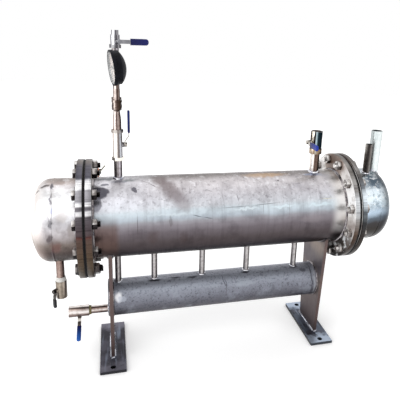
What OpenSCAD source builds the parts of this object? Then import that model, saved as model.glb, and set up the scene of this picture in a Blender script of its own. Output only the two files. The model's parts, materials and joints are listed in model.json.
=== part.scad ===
// Shell and tube heat exchanger on two plate legs.
// +X runs along the shell towards the end with the two open nozzles, -Y is the front, +Z is up.
// The origin lies on the floor, midway between the four anchor holes. Millimetres.

/* [Shell] */
// Outside diameter of the shell, the bonnets and the dished heads
shell_od = 273; // [230:1:300]
// Wall of the shell, the bonnets and the dished heads
shell_wall = 6; // [4:0.5:10]
// Height of the shell's axis above the floor
shell_axis_z = 520; // [470:1:620]
// Distance between the gasket faces of the two shell flanges
flange_span = 912; // [860:1:1100]

/* [Flanges] */
// Width of a flange's ring, from the shell to the flange's rim
flange_ring = 61; // [56:0.5:80]
// Thickness of each flange
flange_t = 20; // [14:1:30]
// Thickness of the gasket between two flanges
gasket_t = 6; // [2:0.5:10]
// How far the gasket's rim stands back from the flange's rim
gasket_setback = 2; // [0.5:0.5:6]
// Distance from the bolts to a flange's rim
bolt_edge = 22.5; // [18:0.5:26]
// Number of bolts in each flange
bolt_count = 12; // [8:4:16]
// Thread diameter of the flange bolts
bolt_d = 20; // [12:1:22]
// Play of a bolt in its hole, on the diameter
bolt_play = 2; // [1:0.5:4]
// Width of the bolt heads and nuts across their flats
bolt_flats = 30; // [24:1:34]
// Height of a bolt head
bolt_head_h = 12; // [8:1:16]
// Height of a nut
nut_h = 16; // [10:1:20]
// Thread that stands out of a nut
bolt_tail = 9; // [3:1:14]

/* [Bonnets] */
// Length of the left bonnet's barrel, from the gasket to the weld of its head
left_barrel_len = 95; // [88:1:150]
// Length of the right bonnet's barrel, from the gasket to the weld of its head
right_barrel_len = 111; // [104:1:160]
// Straight skirt of a dished head
head_skirt = 10; // [4:1:20]
// Outside radius of a head's crown
head_crown_r = 246; // [220:1:320]
// Outside radius of a head's knuckle
head_knuckle_r = 46; // [30:1:60]

/* [Legs] */
// Thickness of a leg plate
leg_t = 12; // [8:1:16]
// Distance from the back of a shell flange to the middle of the leg beside it
leg_setback = 48.5; // [42:0.5:60]
// Width of a leg plate at its foot
leg_foot_w = 140; // [130:1:200]
// Width of a leg plate where it holds the shell
leg_top_w = 196; // [160:1:220]
// Width of a foot plate, along the shell
foot_w = 88; // [60:1:92]
// Thickness of a foot plate
foot_t = 10; // [6:1:16]
// Distance between the two anchor holes of a foot
anchor_pitch = 240; // [220:1:300]
// Distance from an anchor hole to the end of its foot
anchor_end = 20; // [14:1:40]
// Diameter of an anchor hole
anchor_hole_d = 18; // [12:1:22]

/* [Header and risers] */
// Outside diameter of the header pipe
header_od = 127; // [100:1:130]
// Wall of the header pipe
header_wall = 4; // [3:0.5:8]
// Height of the header's axis above the floor
header_axis_z = 211; // [190:1:230]
// How far the header's ends stand out past the leg plates
header_stand = 5.5; // [4:0.5:16]
// Thickness of the flat plates that close the header's ends
header_end_t = 6; // [4:0.5:10]
// Outside diameter of a riser
riser_od = 21.3; // [16:0.1:26]
// Wall of a riser
riser_wall = 2.6; // [2:0.1:4]

/* [Small pipes] */
// Outside diameter of the drain and gauge nipples
nipple_od = 26.9; // [24:0.1:28]
// Wall of the drain and gauge nipples
nipple_wall = 2.6; // [2:0.1:4]
// Outside diameter of the gauge branch and the vent pipe
branch_od = 21.3; // [18:0.1:22]
// Wall of the gauge branch and the vent pipe
branch_wall = 2.6; // [2:0.1:4]
// Depth to which a pipe end is screwed into a valve
socket_depth = 14; // [10:1:18]
// Depth to which a pipe end is screwed into the tee or the elbow
fitting_depth = 10; // [8:0.5:12]

/* [Gauge standpipe] */
// Distance from the back of the left shell flange to the standpipe
standpipe_setback = 82; // [74:1:120]
// Free length of the standpipe between the shell and its valve
standpipe_len = 62; // [40:1:90]
// Length of the isolating valve
isolating_len = 103; // [80:1:110]
// Diameter of the isolating valve's barrel
isolating_d = 31; // [30:0.5:34]
// Length of the hexagon ends of the isolating valve and the vent valve
hex_end_len = 11; // [8:0.5:11.5]
// Free length of the reducing nipple above the isolating valve
reducer_len = 64; // [50:1:90]
// Length over which that nipple tapers
taper_len = 24; // [16:1:30]
// Length of the tee along the standpipe
tee_len = 40; // [38:1:60]
// Outside diameter of the tee and the elbow
fitting_d = 28; // [26:0.5:30]
// Outside diameter of the rims of the tee and the elbow
fitting_rim_d = 31.5; // [31:0.5:40]
// Length of those rims
rim_len = 7; // [5:0.5:10]
// Length of the tee's side arm
tee_arm = 25; // [22:1:30]
// Distance from the standpipe forward to the gauge
gauge_reach = 75; // [68:1:100]
// Height of the elbow's upper mouth above the branch
elbow_rise = 22; // [20:1:40]
// Visible height of the gauge's stem
gauge_stem_len = 43; // [30:1:60]
// Distance from the tee up to the vent valve
vent_pipe_len = 152; // [140:1:180]
// Length of the vent valve's barrel
vent_len = 40; // [39:1:60]
// Diameter of the vent valve's barrel
vent_d = 28; // [27:0.5:34]
// How far the vent valve's stem is turned from the front to the right, in degrees
vent_stem_turn = 27; // [0:1:40]
// Length of the spigot on top of the vent valve
spigot_len = 14; // [6:1:20]
// Outside diameter of that spigot
spigot_od = 21.3; // [18:0.1:24]

/* [Pressure gauge] */
// Outside diameter of the gauge's bezel
gauge_d = 106; // [90:1:112]
// Depth of the gauge from its back to its bezel
gauge_depth = 44; // [40:1:60]
// Height of the gauge's domed back
gauge_dome = 20; // [10:1:24]
// How far the gauge's face is turned forward from the shell's axis, in degrees
gauge_turn = 10; // [0:1:30]
// How far the gauge's face is turned down, in degrees
gauge_lean = 6; // [0:0.5:8]
// Wall of the gauge's case
gauge_wall = 3; // [2:0.5:5]
// Height of the gauge's bezel
bezel_h = 10; // [6:0.5:14]
// How far the bezel stands out from the gauge's drum
bezel_lip = 3; // [2:0.5:5]
// Depth of the dial below the bezel's front
dial_drop = 9; // [7:0.5:12]
// Thickness of the dial
dial_t = 1.5; // [1:0.5:3]
// Thickness of the gauge's glass
glass_t = 2; // [1:0.5:4]
// Distance from the bezel's front back to the gauge's stem
gauge_stem_back = 9; // [8:0.5:12]
// Width of the gauge's hexagon stem across its flats
gauge_stem_flats = 17; // [16:0.5:22]
// Diameter of the neck where the stem enters the gauge's case
gauge_neck_d = 14; // [10:0.5:15]
// Length of that neck
gauge_neck_len = 10; // [6:1:16]

/* [Drains] */
// Distance from the left bonnet's gasket to its drain pipe
bonnet_drain_x = 91; // [78:1:91]
// Free length of the bonnet's drain pipe
bonnet_drain_len = 88; // [60:1:110]
// Length of the bonnet's drain valve
bonnet_valve_len = 63; // [56:1:80]
// Diameter of the bonnet's drain valve
bonnet_valve_d = 36.5; // [33:0.5:40]
// Height of the header's drain above the floor
header_drain_z = 168; // [164:1:190]
// Free length of the header's drain nipple
header_nipple_len = 66.5; // [40:0.5:80]
// Length of the header's drain valve
header_valve_len = 68; // [60:1:80]
// Diameter of the header's drain valve
header_valve_d = 38.5; // [34:0.5:42]
// How far the header's drain lever is turned down from level, in degrees
header_lever_dip = 22; // [0:1:40]
// How far the bonnet's drain stem is turned from the front towards the left, in degrees
bonnet_stem_turn = 48; // [20:1:70]

/* [Shell nozzle] */
// Distance from the back of the right shell flange to the shell nozzle
nozzle_setback = 84; // [76:1:120]
// Outside diameter of the shell nozzle
nozzle_od = 33.7; // [30:0.1:36]
// Wall of the shell nozzle
nozzle_wall = 3.2; // [2.5:0.1:5]
// Free length of the shell nozzle below its valve
nozzle_len = 70; // [50:1:90]
// Length of the round collar at the foot of the nozzle's valve
collar_len = 18; // [15:1:24]
// Outside diameter of that collar
collar_d = 46; // [41:0.5:52]
// Length of the hexagon bar body of the nozzle's valve
hex_body_len = 65; // [56:1:80]
// Width of that hexagon bar across its flats
hex_body_flats = 42; // [39:0.5:48]

/* [Bonnet nozzles] */
// Outside diameter of the tall bonnet nozzle
tall_nozzle_od = 42.4; // [36:0.1:46]
// Wall of the tall bonnet nozzle
tall_nozzle_wall = 3.2; // [2.5:0.1:5]
// Height of the tall bonnet nozzle above the shell's axis
tall_nozzle_top = 288; // [220:1:340]
// Distance from the right bonnet's gasket to the tall nozzle
tall_nozzle_x = 141; // [140:0.5:143]
// How far the tall nozzle stands behind the shell's axis
tall_nozzle_y = 6; // [0:1:14]
// Outside diameter of the short bonnet nozzle
short_nozzle_od = 26.9; // [20:0.1:28]
// Wall of the short bonnet nozzle
short_nozzle_wall = 2.6; // [2:0.1:4]
// Height of the short bonnet nozzle above the shell's axis
short_nozzle_top = 243; // [190:1:280]
// Distance from the right bonnet's gasket to the short nozzle
short_nozzle_x = 95; // [88:1:96]
// How far the short nozzle stands in front of the shell's axis
short_nozzle_y = 25; // [15:1:40]

/* [Valve levers] */
// Diameter of a valve's stem
stem_d = 8; // [6:0.5:9]
// Diameter of the gland that holds the stem
gland_d = 16; // [14:0.5:20]
// Height of the gland above the valve's barrel
gland_h = 6; // [5.5:0.5:10]
// Thickness of a lever's steel strap
strap_t = 2.5; // [2:0.1:4]
// Width of a lever's steel strap
strap_w = 12; // [10:0.5:13]
// Thickness of a lever's vinyl grip
grip_t = 8; // [6:0.5:10]
// Width of a wide grip
grip_w = 20; // [17:0.5:24]
// Width of a narrow grip
narrow_grip_w = 14.5; // [14:0.5:17]
// Width of a stem's nut across its flats
stem_nut_flats = 13; // [11:0.5:15]
// Height of a stem's nut
stem_nut_h = 6.4; // [4:0.2:8]
// Distance from a stem to the start of a long lever's grip
grip_from = 40; // [36:1:48]
// Distance from the stem to the start of the bonnet drain lever's grip
bonnet_grip_from = 30; // [26:1:36]
// Step of the isolating valve's lever away from its pipe
isolating_rise = 13; // [0:0.5:14]
// Step of the vent valve's lever away from its pipe
vent_rise = 2; // [0:0.5:14]
// Step of the shell nozzle valve's lever away from its pipe
nozzle_rise = 8; // [0:0.5:14]
// Step of the header drain valve's lever away from its pipe
header_rise = 5; // [0:0.5:14]
// Step of the bonnet drain valve's lever away from its pipe
bonnet_rise = 3; // [0:0.5:5]
// Length of the isolating valve's lever
isolating_lever_len = 110; // [80:1:120]
// Length of the vent valve's lever
vent_lever_len = 100; // [80:1:120]
// Length of the shell nozzle valve's lever
nozzle_lever_len = 100; // [80:1:120]
// Length of the header drain valve's lever
header_lever_len = 95; // [80:1:110]
// Length of the bonnet drain valve's lever
bonnet_lever_len = 58; // [50:1:80]

/* [Air cock] */
// Distance from the back of the left shell flange to the air cock
cock_setback = 10; // [9:1:20]
// How far round the shell from its top the air cock stands, to the back, in degrees
cock_angle = 41.25; // [39:0.25:43]
// Outside diameter of the air cock's body
cock_d = 16; // [14:0.5:17]
// Height of the air cock above the shell's wall
cock_h = 42; // [36:1:50]
// Diameter of the air cock's lever rod
cock_rod_d = 5; // [4:0.5:6]
// Length of the air cock's lever rod
cock_rod_len = 46; // [36:1:60]
// How far the rod is turned up from level, in degrees
cock_rod_angle = 50; // [30:1:60]
// Diameter of the air cock's plug
cock_plug_d = 10; // [8:0.5:11]
// Wall of the boss around the plug
cock_boss_wall = 1.5; // [1:0.1:3]
// Length of the plug that stands out to carry the rod
cock_hub_t = 7; // [6.5:0.5:10]
// Length of the boss in front of the air cock's body
cock_boss_len = 3; // [2:0.5:6]

/* [Hidden] */

$fn = 96;
// Overshoot of a cutting solid past the face that it leaves
cut = 1;
// Gap at a weld between two round faces
seat_gap = 0.2;
// Gap on the radius between a screwed pipe end and its socket
thread_gap = 0.2;
// Gap on the radius between a stem and its gland
stem_gap = 0.15;
// Gap between a lever's hub and the top of the gland below it
hub_gap = 0.5;
// Step by which the arms of a fitting are slimmer than its middle
arm_step = 1;
// How far a valve's hexagon end stands out past its barrel, across the flats
hex_step = 2.5;
// Share of the dial's radius that the pointer reaches
pointer_share = 0.8;
// Half width and thickness of the pointer, and diameter of its hub
pointer_t = 1;
pointer_hub_d = 9;
// Direction of the pointer at zero, in degrees from the top of the dial
pointer_turn = 225;
// Colours of the finishes
satin_steel = "#b9b4b1";
dull_steel = "#8d8985";
plate_steel = "#7d746f";
header_steel = "#7f8288";
bolt_steel = "#a9a6a1";
grip_blue = "#20328c";
grip_black = "#17171a";

// Places that follow from the sizes above
shell_r = shell_od / 2;
foot_len = anchor_pitch + 2 * anchor_end;
flange_od = shell_od + 2 * flange_ring;
bolt_circle = flange_od - 2 * bolt_edge;
bore_r = shell_r - shell_wall;
face_x = flange_span / 2;
bonnet_face_x = face_x + gasket_t;
flange_back_x = face_x - flange_t;
leg_x = flange_back_x - leg_setback;
leg_inner_x = leg_x - leg_t / 2;
leg_outer_x = leg_x + leg_t / 2;
left_seam_x = bonnet_face_x + left_barrel_len;
right_seam_x = bonnet_face_x + right_barrel_len;
head_centre_drop = sqrt(pow(head_crown_r - head_knuckle_r, 2) - pow(shell_r - head_knuckle_r, 2));
standpipe_x = -(flange_back_x - standpipe_setback);
shell_top_z = shell_axis_z + shell_r;
isolating_z = shell_top_z + standpipe_len + isolating_len / 2;
tee_bottom_z = shell_top_z + standpipe_len + isolating_len + reducer_len;
tee_z = tee_bottom_z + tee_len / 2;
gauge_bottom_z = tee_z + elbow_rise + gauge_stem_len;
vent_bottom_z = tee_bottom_z + tee_len + vent_pipe_len;
vent_z = vent_bottom_z + vent_len / 2;
nozzle_x = flange_back_x - nozzle_setback;
nozzle_valve_bottom_z = shell_top_z + nozzle_len;
nozzle_valve_z = nozzle_valve_bottom_z + (collar_len + hex_body_len) / 2;
drain_x = -(bonnet_face_x + bonnet_drain_x);
drain_valve_top_z = shell_axis_z - shell_r - bonnet_drain_len;
drain_valve_z = drain_valve_top_z - bonnet_valve_len / 2;
header_end_x = leg_outer_x + header_stand;
header_pipe_x = header_end_x - header_end_t;
header_valve_x = -(header_end_x + header_nipple_len + header_valve_len / 2);
tall_x = bonnet_face_x + tall_nozzle_x;
short_x = bonnet_face_x + short_nozzle_x;
cock_x = -(flange_back_x - cock_setback);
cock_y = shell_r * sin(cock_angle);
cock_foot_z = shell_axis_z + shell_r * cos(cock_angle);
cock_plug_z = cock_foot_z + cock_h / 2;
cock_hub_y = cock_d / 2 + cock_boss_len;
hex_body_d = hex_body_flats / cos(30);
socket_d = nipple_od + 2 * thread_gap;
fitting_socket_d = branch_od + 2 * thread_gap;
dial_r = gauge_d / 2 - bezel_lip - gauge_wall - thread_gap;
neck_seat = bezel_lip + gauge_wall / 2;
// Rest directions of the levers in their valves' frames: along the pipe, or square to it
along = 0;
across = -90;
// Risers along the clear run of the header between the two legs
riser_shares = [0.025, 0.19, 0.418, 0.641, 0.893];
riser_xs = [for (s = riser_shares) -leg_inner_x + s * 2 * leg_inner_x];

// Turns a child so that its X axis runs along p and its Z axis along s, with its origin at o
module in_frame(o, p, s) {
    y = cross(s, p);
    multmatrix([
        [p.x, y.x, s.x, o.x],
        [p.y, y.y, s.y, o.y],
        [p.z, y.z, s.z, o.z],
        [0, 0, 0, 1]
    ])
        children();
}

// Cylinder along X between two places
module x_cylinder(x0, x1, d) {
    translate([x0, 0, 0])
        rotate([0, 90, 0])
            cylinder(h = x1 - x0, d = d);
}

// Hexagon bar along X between two places
module x_hexagon(x0, x1, flats) {
    translate([x0, 0, 0])
        rotate([0, 90, 0])
            cylinder(h = x1 - x0, d = flats / cos(30), $fn = 6);
}

// Solid along the shell's axis, as wide as the shell with a gap around it
module shell_core(x0, x1, gap) {
    translate([0, 0, shell_axis_z])
        x_cylinder(x0, x1, shell_od + 2 * gap);
}

// Places its child at each bolt of a flange
module at_bolts() {
    for (i = [0 : bolt_count - 1])
        rotate([(i + 0.5) * 360 / bolt_count, 0, 0])
            translate([0, bolt_circle / 2, 0])
                children();
}

// Ring around the shell's axis, drilled for the flange bolts
module drilled_ring(x0, x1, d, bore) {
    translate([0, 0, shell_axis_z])
        difference() {
            x_cylinder(x0, x1, d);
            x_cylinder(x0 - cut, x1 + cut, bore);
            at_bolts()
                x_cylinder(x0 - cut, x1 + cut, bolt_d + bolt_play);
        }
}

// Half section of a dished head, filled, grown by g past its outside
module head_section(g) {
    knuckle = head_knuckle_r + g;
    crown = head_crown_r + g;
    centre = [shell_r - head_knuckle_r, head_skirt];
    crown_h = head_skirt - head_centre_drop;
    reach = 2 * head_crown_r;
    intersection() {
        square([shell_r + g, reach]);
        union() {
            square([shell_r + g, head_skirt]);
            translate(centre)
                circle(r = knuckle);
            intersection() {
                translate([0, crown_h])
                    circle(r = crown);
                polygon([
                    [0, crown_h],
                    [0, crown_h + reach],
                    [centre.x * reach / head_centre_drop, crown_h + reach]
                ]);
            }
        }
    }
}

// Filled dished head that bulges along X from its weld
module head_solid(g) {
    translate([0, 0, shell_axis_z])
        rotate([0, 90, 0])
            rotate_extrude()
                head_section(g);
}

// Hollow dished head that bulges along X from its weld
module head_shell() {
    translate([0, 0, shell_axis_z])
        rotate([0, 90, 0])
            rotate_extrude()
                difference() {
                    head_section(0);
                    head_section(-shell_wall);
                }
}

// Upright pipe between two heights
module upright_pipe(x, y, z0, z1, od, wall) {
    translate([x, y, z0])
        difference() {
            cylinder(h = z1 - z0, d = od);
            translate([0, 0, -cut])
                cylinder(h = z1 - z0 + 2 * cut, d = od - 2 * wall);
        }
}

// Leg plate across the shell, tapered to its foot, cut to the shell and bored for the header
module leg_plate() {
    translate([-leg_t / 2, 0, 0])
        rotate([90, 0, 90])
            linear_extrude(leg_t)
                difference() {
                    polygon([
                        [-leg_foot_w / 2, foot_t],
                        [leg_foot_w / 2, foot_t],
                        [leg_top_w / 2, shell_axis_z - shell_r / 2],
                        [-leg_top_w / 2, shell_axis_z - shell_r / 2]
                    ]);
                    translate([0, shell_axis_z])
                        circle(d = shell_od + 2 * seat_gap);
                    translate([0, header_axis_z])
                        circle(d = header_od + 2 * seat_gap);
                }
}

// Cuts of a valve in its own frame: a socket in each end and the stem's bore
module valve_cuts(len, depth0, d0, depth1, d1, stem_from, stem_to) {
    x_cylinder(-len / 2 - cut, -len / 2 + depth0, d0);
    x_cylinder(len / 2 - depth1, len / 2 + cut, d1);
    translate([0, 0, stem_from])
        cylinder(h = stem_to - stem_from + cut, d = stem_d + 2 * stem_gap);
}

// Height of the gland's top above a valve's axis
function gland_top(valve_d) = valve_d / 2 + gland_h;

// Foot of a stem in its valve, below the barrel's skin
function stem_foot(valve_d) = valve_d / 2 - stem_d / 4;

// Round barrel valve along X, with its stem along Z
module barrel_valve(len, d, depth0, d0, depth1, d1) {
    difference() {
        union() {
            x_cylinder(-len / 2, len / 2, d);
            cylinder(h = gland_top(d), d = gland_d);
        }
        valve_cuts(len, depth0, d0, depth1, d1, stem_foot(d), gland_top(d));
    }
}

// Side view of a lever strap: level at the hub, stepped up by rise, level at the grip
module strap_section(len, z0, rise, grow) {
    step0 = gland_d / 2 + strap_t;
    step1 = step0 + abs(rise) + strap_w / 2;
    polygon([
        [-strap_w, z0 - grow],
        [step0, z0 - grow],
        [step1, z0 + rise - grow],
        [len, z0 + rise - grow],
        [len, z0 + rise + strap_t + grow],
        [step1, z0 + rise + strap_t + grow],
        [step0, z0 + strap_t + grow],
        [-strap_w, z0 + strap_t + grow]
    ]);
}

// Lever strap in its valve's frame, pointing along X, with the stem and its nut
module lever_with_stem(len, valve_d, rise) {
    z0 = gland_top(valve_d) + hub_gap;
    intersection() {
        rotate([90, 0, 0])
            translate([0, 0, -strap_w])
                linear_extrude(2 * strap_w)
                    strap_section(len, z0, rise, 0);
        linear_extrude(z0 + abs(rise) + strap_w) {
            circle(d = gland_d);
            translate([0, -strap_w / 2])
                square([len, strap_w]);
        }
    }
    translate([0, 0, stem_foot(valve_d) + stem_gap])
        cylinder(h = z0 + strap_t - stem_foot(valve_d), d = stem_d);
    translate([0, 0, z0 + strap_t])
        cylinder(h = stem_nut_h, d = stem_nut_flats / cos(30), $fn = 6);
}

// Vinyl grip in its valve's frame, slipped over the end of a lever strap
module lever_grip(len, valve_d, rise, from, w) {
    z0 = gland_top(valve_d) + hub_gap;
    mid_z = z0 + rise + strap_t / 2;
    tip = grip_t / 2;
    difference() {
        intersection() {
            translate([from, 0, mid_z])
                rotate([90, 0, 90])
                    linear_extrude(len + tip - from) {
                        square([w - grip_t, grip_t], center = true);
                        for (side = [-1, 1])
                            translate([side * (w - grip_t) / 2, 0])
                                circle(d = grip_t);
                    }
            linear_extrude(mid_z + grip_t) {
                translate([from, -w / 2])
                    square([len + tip - from - w / 2, w]);
                translate([len + tip - w / 2, 0])
                    circle(d = w);
            }
        }
        rotate([90, 0, 0])
            translate([0, 0, -strap_w / 2 - thread_gap])
                linear_extrude(strap_w + 2 * thread_gap)
                    strap_section(len, z0, rise, 0);
    }
}

// Frames of the valves: place, pipe axis and stem axis
module isolating_frame() {
    in_frame([standpipe_x, 0, isolating_z], [0, 0, 1], [1, 0, 0])
        children();
}

module vent_frame() {
    stem = [sin(vent_stem_turn), -cos(vent_stem_turn), 0];
    in_frame([standpipe_x, 0, vent_z], [0, 0, 1], stem)
        children();
}

module nozzle_frame() {
    in_frame([nozzle_x, 0, nozzle_valve_z], [0, 0, 1], [-1, 0, 0])
        children();
}

module header_drain_frame() {
    stem = [0, sin(header_lever_dip), -cos(header_lever_dip)];
    in_frame([header_valve_x, 0, header_drain_z], [-1, 0, 0], stem)
        children();
}

module bonnet_drain_frame() {
    stem = [-sin(bonnet_stem_turn), -cos(bonnet_stem_turn), 0];
    in_frame([drain_x, 0, drain_valve_z], [0, 0, -1], stem)
        children();
}

// Frame of the gauge: Z along the axis from its back to its face, X up
module gauge_frame() {
    face = [-cos(gauge_turn) * cos(gauge_lean), -sin(gauge_turn) * cos(gauge_lean), -sin(gauge_lean)];
    up = [-cos(gauge_turn) * sin(gauge_lean), -sin(gauge_turn) * sin(gauge_lean), cos(gauge_lean)];
    seat = [standpipe_x, -gauge_reach, gauge_bottom_z];
    in_frame(seat + up * gauge_d / 2 - face * (gauge_depth - gauge_stem_back), up, face)
        children();
}

module shell() {
    color(satin_steel)
        difference() {
            shell_core(-face_x, face_x, 0);
            translate([0, 0, shell_axis_z])
                x_cylinder(-face_x - cut, face_x + cut, 2 * bore_r);
            translate([standpipe_x, 0, shell_axis_z])
                cylinder(h = shell_r + cut, d = nipple_od - 2 * nipple_wall);
            translate([nozzle_x, 0, shell_axis_z])
                cylinder(h = shell_r + cut, d = nozzle_od - 2 * nozzle_wall);
            for (x = riser_xs)
                translate([x, 0, shell_axis_z - shell_r - cut])
                    cylinder(h = shell_r, d = riser_od - 2 * riser_wall);
        }
}

module left_shell_flange() {
    color(dull_steel)
        drilled_ring(-face_x, -flange_back_x, flange_od, shell_od + 2 * seat_gap);
}

module right_shell_flange() {
    color(dull_steel)
        drilled_ring(flange_back_x, face_x, flange_od, shell_od + 2 * seat_gap);
}

module flange_gaskets() {
    color("#1b1b1d") {
        drilled_ring(-bonnet_face_x, -face_x, flange_od - 2 * gasket_setback, 2 * bore_r);
        drilled_ring(face_x, bonnet_face_x, flange_od - 2 * gasket_setback, 2 * bore_r);
    }
}

module left_bonnet_flange() {
    color(dull_steel)
        drilled_ring(-bonnet_face_x - flange_t, -bonnet_face_x, flange_od, shell_od + 2 * seat_gap);
}

module right_bonnet_flange() {
    color(dull_steel)
        drilled_ring(bonnet_face_x, bonnet_face_x + flange_t, flange_od, shell_od + 2 * seat_gap);
}

module left_bonnet_barrel() {
    color(satin_steel)
        difference() {
            shell_core(-left_seam_x, -bonnet_face_x, 0);
            translate([0, 0, shell_axis_z])
                x_cylinder(-left_seam_x - cut, -bonnet_face_x + cut, 2 * bore_r);
            drain_bore();
        }
}

module right_bonnet_barrel() {
    color(satin_steel)
        difference() {
            shell_core(bonnet_face_x, right_seam_x, 0);
            translate([0, 0, shell_axis_z])
                x_cylinder(bonnet_face_x - cut, right_seam_x + cut, 2 * bore_r);
            translate([short_x, -short_nozzle_y, shell_axis_z])
                cylinder(h = shell_r + cut, d = short_nozzle_od - 2 * short_nozzle_wall);
        }
}

// Bore of the bonnet's drain through the wall above it
module drain_bore() {
    translate([drain_x, 0, shell_axis_z - shell_r - cut])
        cylinder(h = shell_r, d = nipple_od - 2 * nipple_wall);
}

module left_dished_head() {
    color(satin_steel)
        difference() {
            translate([-left_seam_x, 0, 0])
                mirror([1, 0, 0])
                    head_shell();
            drain_bore();
        }
}

module right_dished_head() {
    color(satin_steel)
        difference() {
            translate([right_seam_x, 0, 0])
                head_shell();
            translate([tall_x, tall_nozzle_y, shell_axis_z])
                cylinder(h = shell_r + cut, d = tall_nozzle_od - 2 * tall_nozzle_wall);
        }
}

// Bolt with its head on the bonnet's flange and its nut on the shell's flange
module flange_bolt() {
    x_hexagon(bonnet_face_x + flange_t, bonnet_face_x + flange_t + bolt_head_h, bolt_flats);
    x_cylinder(flange_back_x - nut_h - bolt_tail, bonnet_face_x + flange_t + bolt_head_h / 2, bolt_d);
    x_hexagon(flange_back_x - nut_h, flange_back_x, bolt_flats);
}

module flange_bolts() {
    color(bolt_steel)
        translate([0, 0, shell_axis_z])
            at_bolts() {
                flange_bolt();
                mirror([1, 0, 0])
                    flange_bolt();
            }
}

module left_leg() {
    color(plate_steel)
        translate([-leg_x, 0, 0])
            leg_plate();
}

module right_leg() {
    color(plate_steel)
        translate([leg_x, 0, 0])
            leg_plate();
}

module foot_plates() {
    color(plate_steel)
        for (side = [-1, 1])
            difference() {
                translate([side * leg_x - foot_w / 2, -foot_len / 2, 0])
                    cube([foot_w, foot_len, foot_t]);
                for (end = [-1, 1])
                    translate([side * leg_x, end * anchor_pitch / 2, -cut])
                        cylinder(h = foot_t + 2 * cut, d = anchor_hole_d);
            }
}

module header_pipe() {
    color(header_steel)
        difference() {
            translate([0, 0, header_axis_z])
                difference() {
                    x_cylinder(-header_pipe_x, header_pipe_x, header_od);
                    x_cylinder(-header_pipe_x - cut, header_pipe_x + cut, header_od - 2 * header_wall);
                }
            for (x = riser_xs)
                translate([x, 0, header_axis_z])
                    cylinder(h = header_od / 2 + cut, d = riser_od - 2 * riser_wall);
        }
}

module riser_pipes() {
    color(dull_steel)
        difference() {
            for (x = riser_xs)
                upright_pipe(x, 0, header_axis_z, shell_axis_z, riser_od, riser_wall);
            translate([0, 0, header_axis_z])
                x_cylinder(-leg_inner_x, leg_inner_x, header_od + 2 * seat_gap);
            shell_core(-face_x, face_x, seat_gap);
        }
}

module header_end_plates() {
    color(header_steel)
        difference() {
            translate([0, 0, header_axis_z]) {
                x_cylinder(-header_end_x, -header_pipe_x, header_od);
                x_cylinder(header_pipe_x, header_end_x, header_od);
            }
            translate([0, 0, header_drain_z])
                x_cylinder(-header_end_x - cut, -header_pipe_x + cut, nipple_od - 2 * nipple_wall);
        }
}

module header_drain_nipple() {
    nipple_end_x = header_end_x + header_nipple_len + socket_depth;
    color(dull_steel)
        translate([0, 0, header_drain_z])
            difference() {
                x_cylinder(-nipple_end_x, -header_end_x, nipple_od);
                x_cylinder(-nipple_end_x - cut, -header_end_x + cut, nipple_od - 2 * nipple_wall);
            }
}

module header_drain_valve() {
    color(dull_steel)
        header_drain_frame()
            barrel_valve(header_valve_len, header_valve_d, socket_depth, socket_d, socket_depth, socket_d);
}

module header_drain_lever() {
    color(bolt_steel)
        header_drain_frame()
            rotate([0, 0, across])
                lever_with_stem(header_lever_len, header_valve_d, header_rise);
}

module header_drain_grip() {
    color(grip_blue)
        header_drain_frame()
            rotate([0, 0, across])
                lever_grip(header_lever_len, header_valve_d, header_rise, grip_from, narrow_grip_w);
}

module bonnet_drain_pipe() {
    color(dull_steel)
        difference() {
            upright_pipe(drain_x, 0, drain_valve_top_z - socket_depth, shell_axis_z, nipple_od, nipple_wall);
            shell_core(-left_seam_x - head_skirt - nipple_od, -bonnet_face_x, seat_gap);
        }
}

module bonnet_drain_valve() {
    color(dull_steel)
        bonnet_drain_frame()
            barrel_valve(bonnet_valve_len, bonnet_valve_d, socket_depth, socket_d, socket_depth, socket_d);
}

module bonnet_drain_lever() {
    color(bolt_steel)
        bonnet_drain_frame()
            rotate([0, 0, along])
                lever_with_stem(bonnet_lever_len, bonnet_valve_d, bonnet_rise);
}

module bonnet_drain_grip() {
    color(grip_black)
        bonnet_drain_frame()
            rotate([0, 0, along])
                lever_grip(bonnet_lever_len, bonnet_valve_d, bonnet_rise, bonnet_grip_from, narrow_grip_w);
}

module gauge_standpipe() {
    color(dull_steel)
        difference() {
            upright_pipe(standpipe_x, 0, shell_axis_z, shell_top_z + standpipe_len + socket_depth,
                nipple_od, nipple_wall);
            shell_core(-face_x, face_x, seat_gap);
        }
}

module isolating_valve() {
    hex_flats = isolating_d + hex_step;
    color(satin_steel)
        isolating_frame()
            difference() {
                union() {
                    x_cylinder(-isolating_len / 2, isolating_len / 2, isolating_d);
                    x_hexagon(-isolating_len / 2, -isolating_len / 2 + hex_end_len, hex_flats);
                    x_hexagon(isolating_len / 2 - hex_end_len, isolating_len / 2, hex_flats);
                    cylinder(h = gland_top(isolating_d), d = gland_d);
                }
                valve_cuts(isolating_len, socket_depth, socket_d, socket_depth, socket_d,
                    stem_foot(isolating_d), gland_top(isolating_d));
            }
}

module isolating_lever() {
    color(bolt_steel)
        isolating_frame()
            rotate([0, 0, along])
                lever_with_stem(isolating_lever_len, isolating_d, isolating_rise);
}

module isolating_grip() {
    color(grip_blue)
        isolating_frame()
            rotate([0, 0, along])
                lever_grip(isolating_lever_len, isolating_d, isolating_rise, grip_from, grip_w);
}

module reducing_nipple() {
    foot_z = tee_bottom_z - reducer_len - socket_depth;
    neck_z = tee_bottom_z - fitting_depth;
    color(dull_steel)
        translate([standpipe_x, 0, 0])
            rotate_extrude()
                difference() {
                    polygon([
                        [0, foot_z],
                        [nipple_od / 2, foot_z],
                        [nipple_od / 2, neck_z - taper_len],
                        [branch_od / 2, neck_z],
                        [branch_od / 2, tee_bottom_z + fitting_depth],
                        [0, tee_bottom_z + fitting_depth]
                    ]);
                    translate([0, foot_z - cut])
                        square([branch_od / 2 - branch_wall, reducer_len + 2 * socket_depth + 2 * cut]);
                }
}

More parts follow.
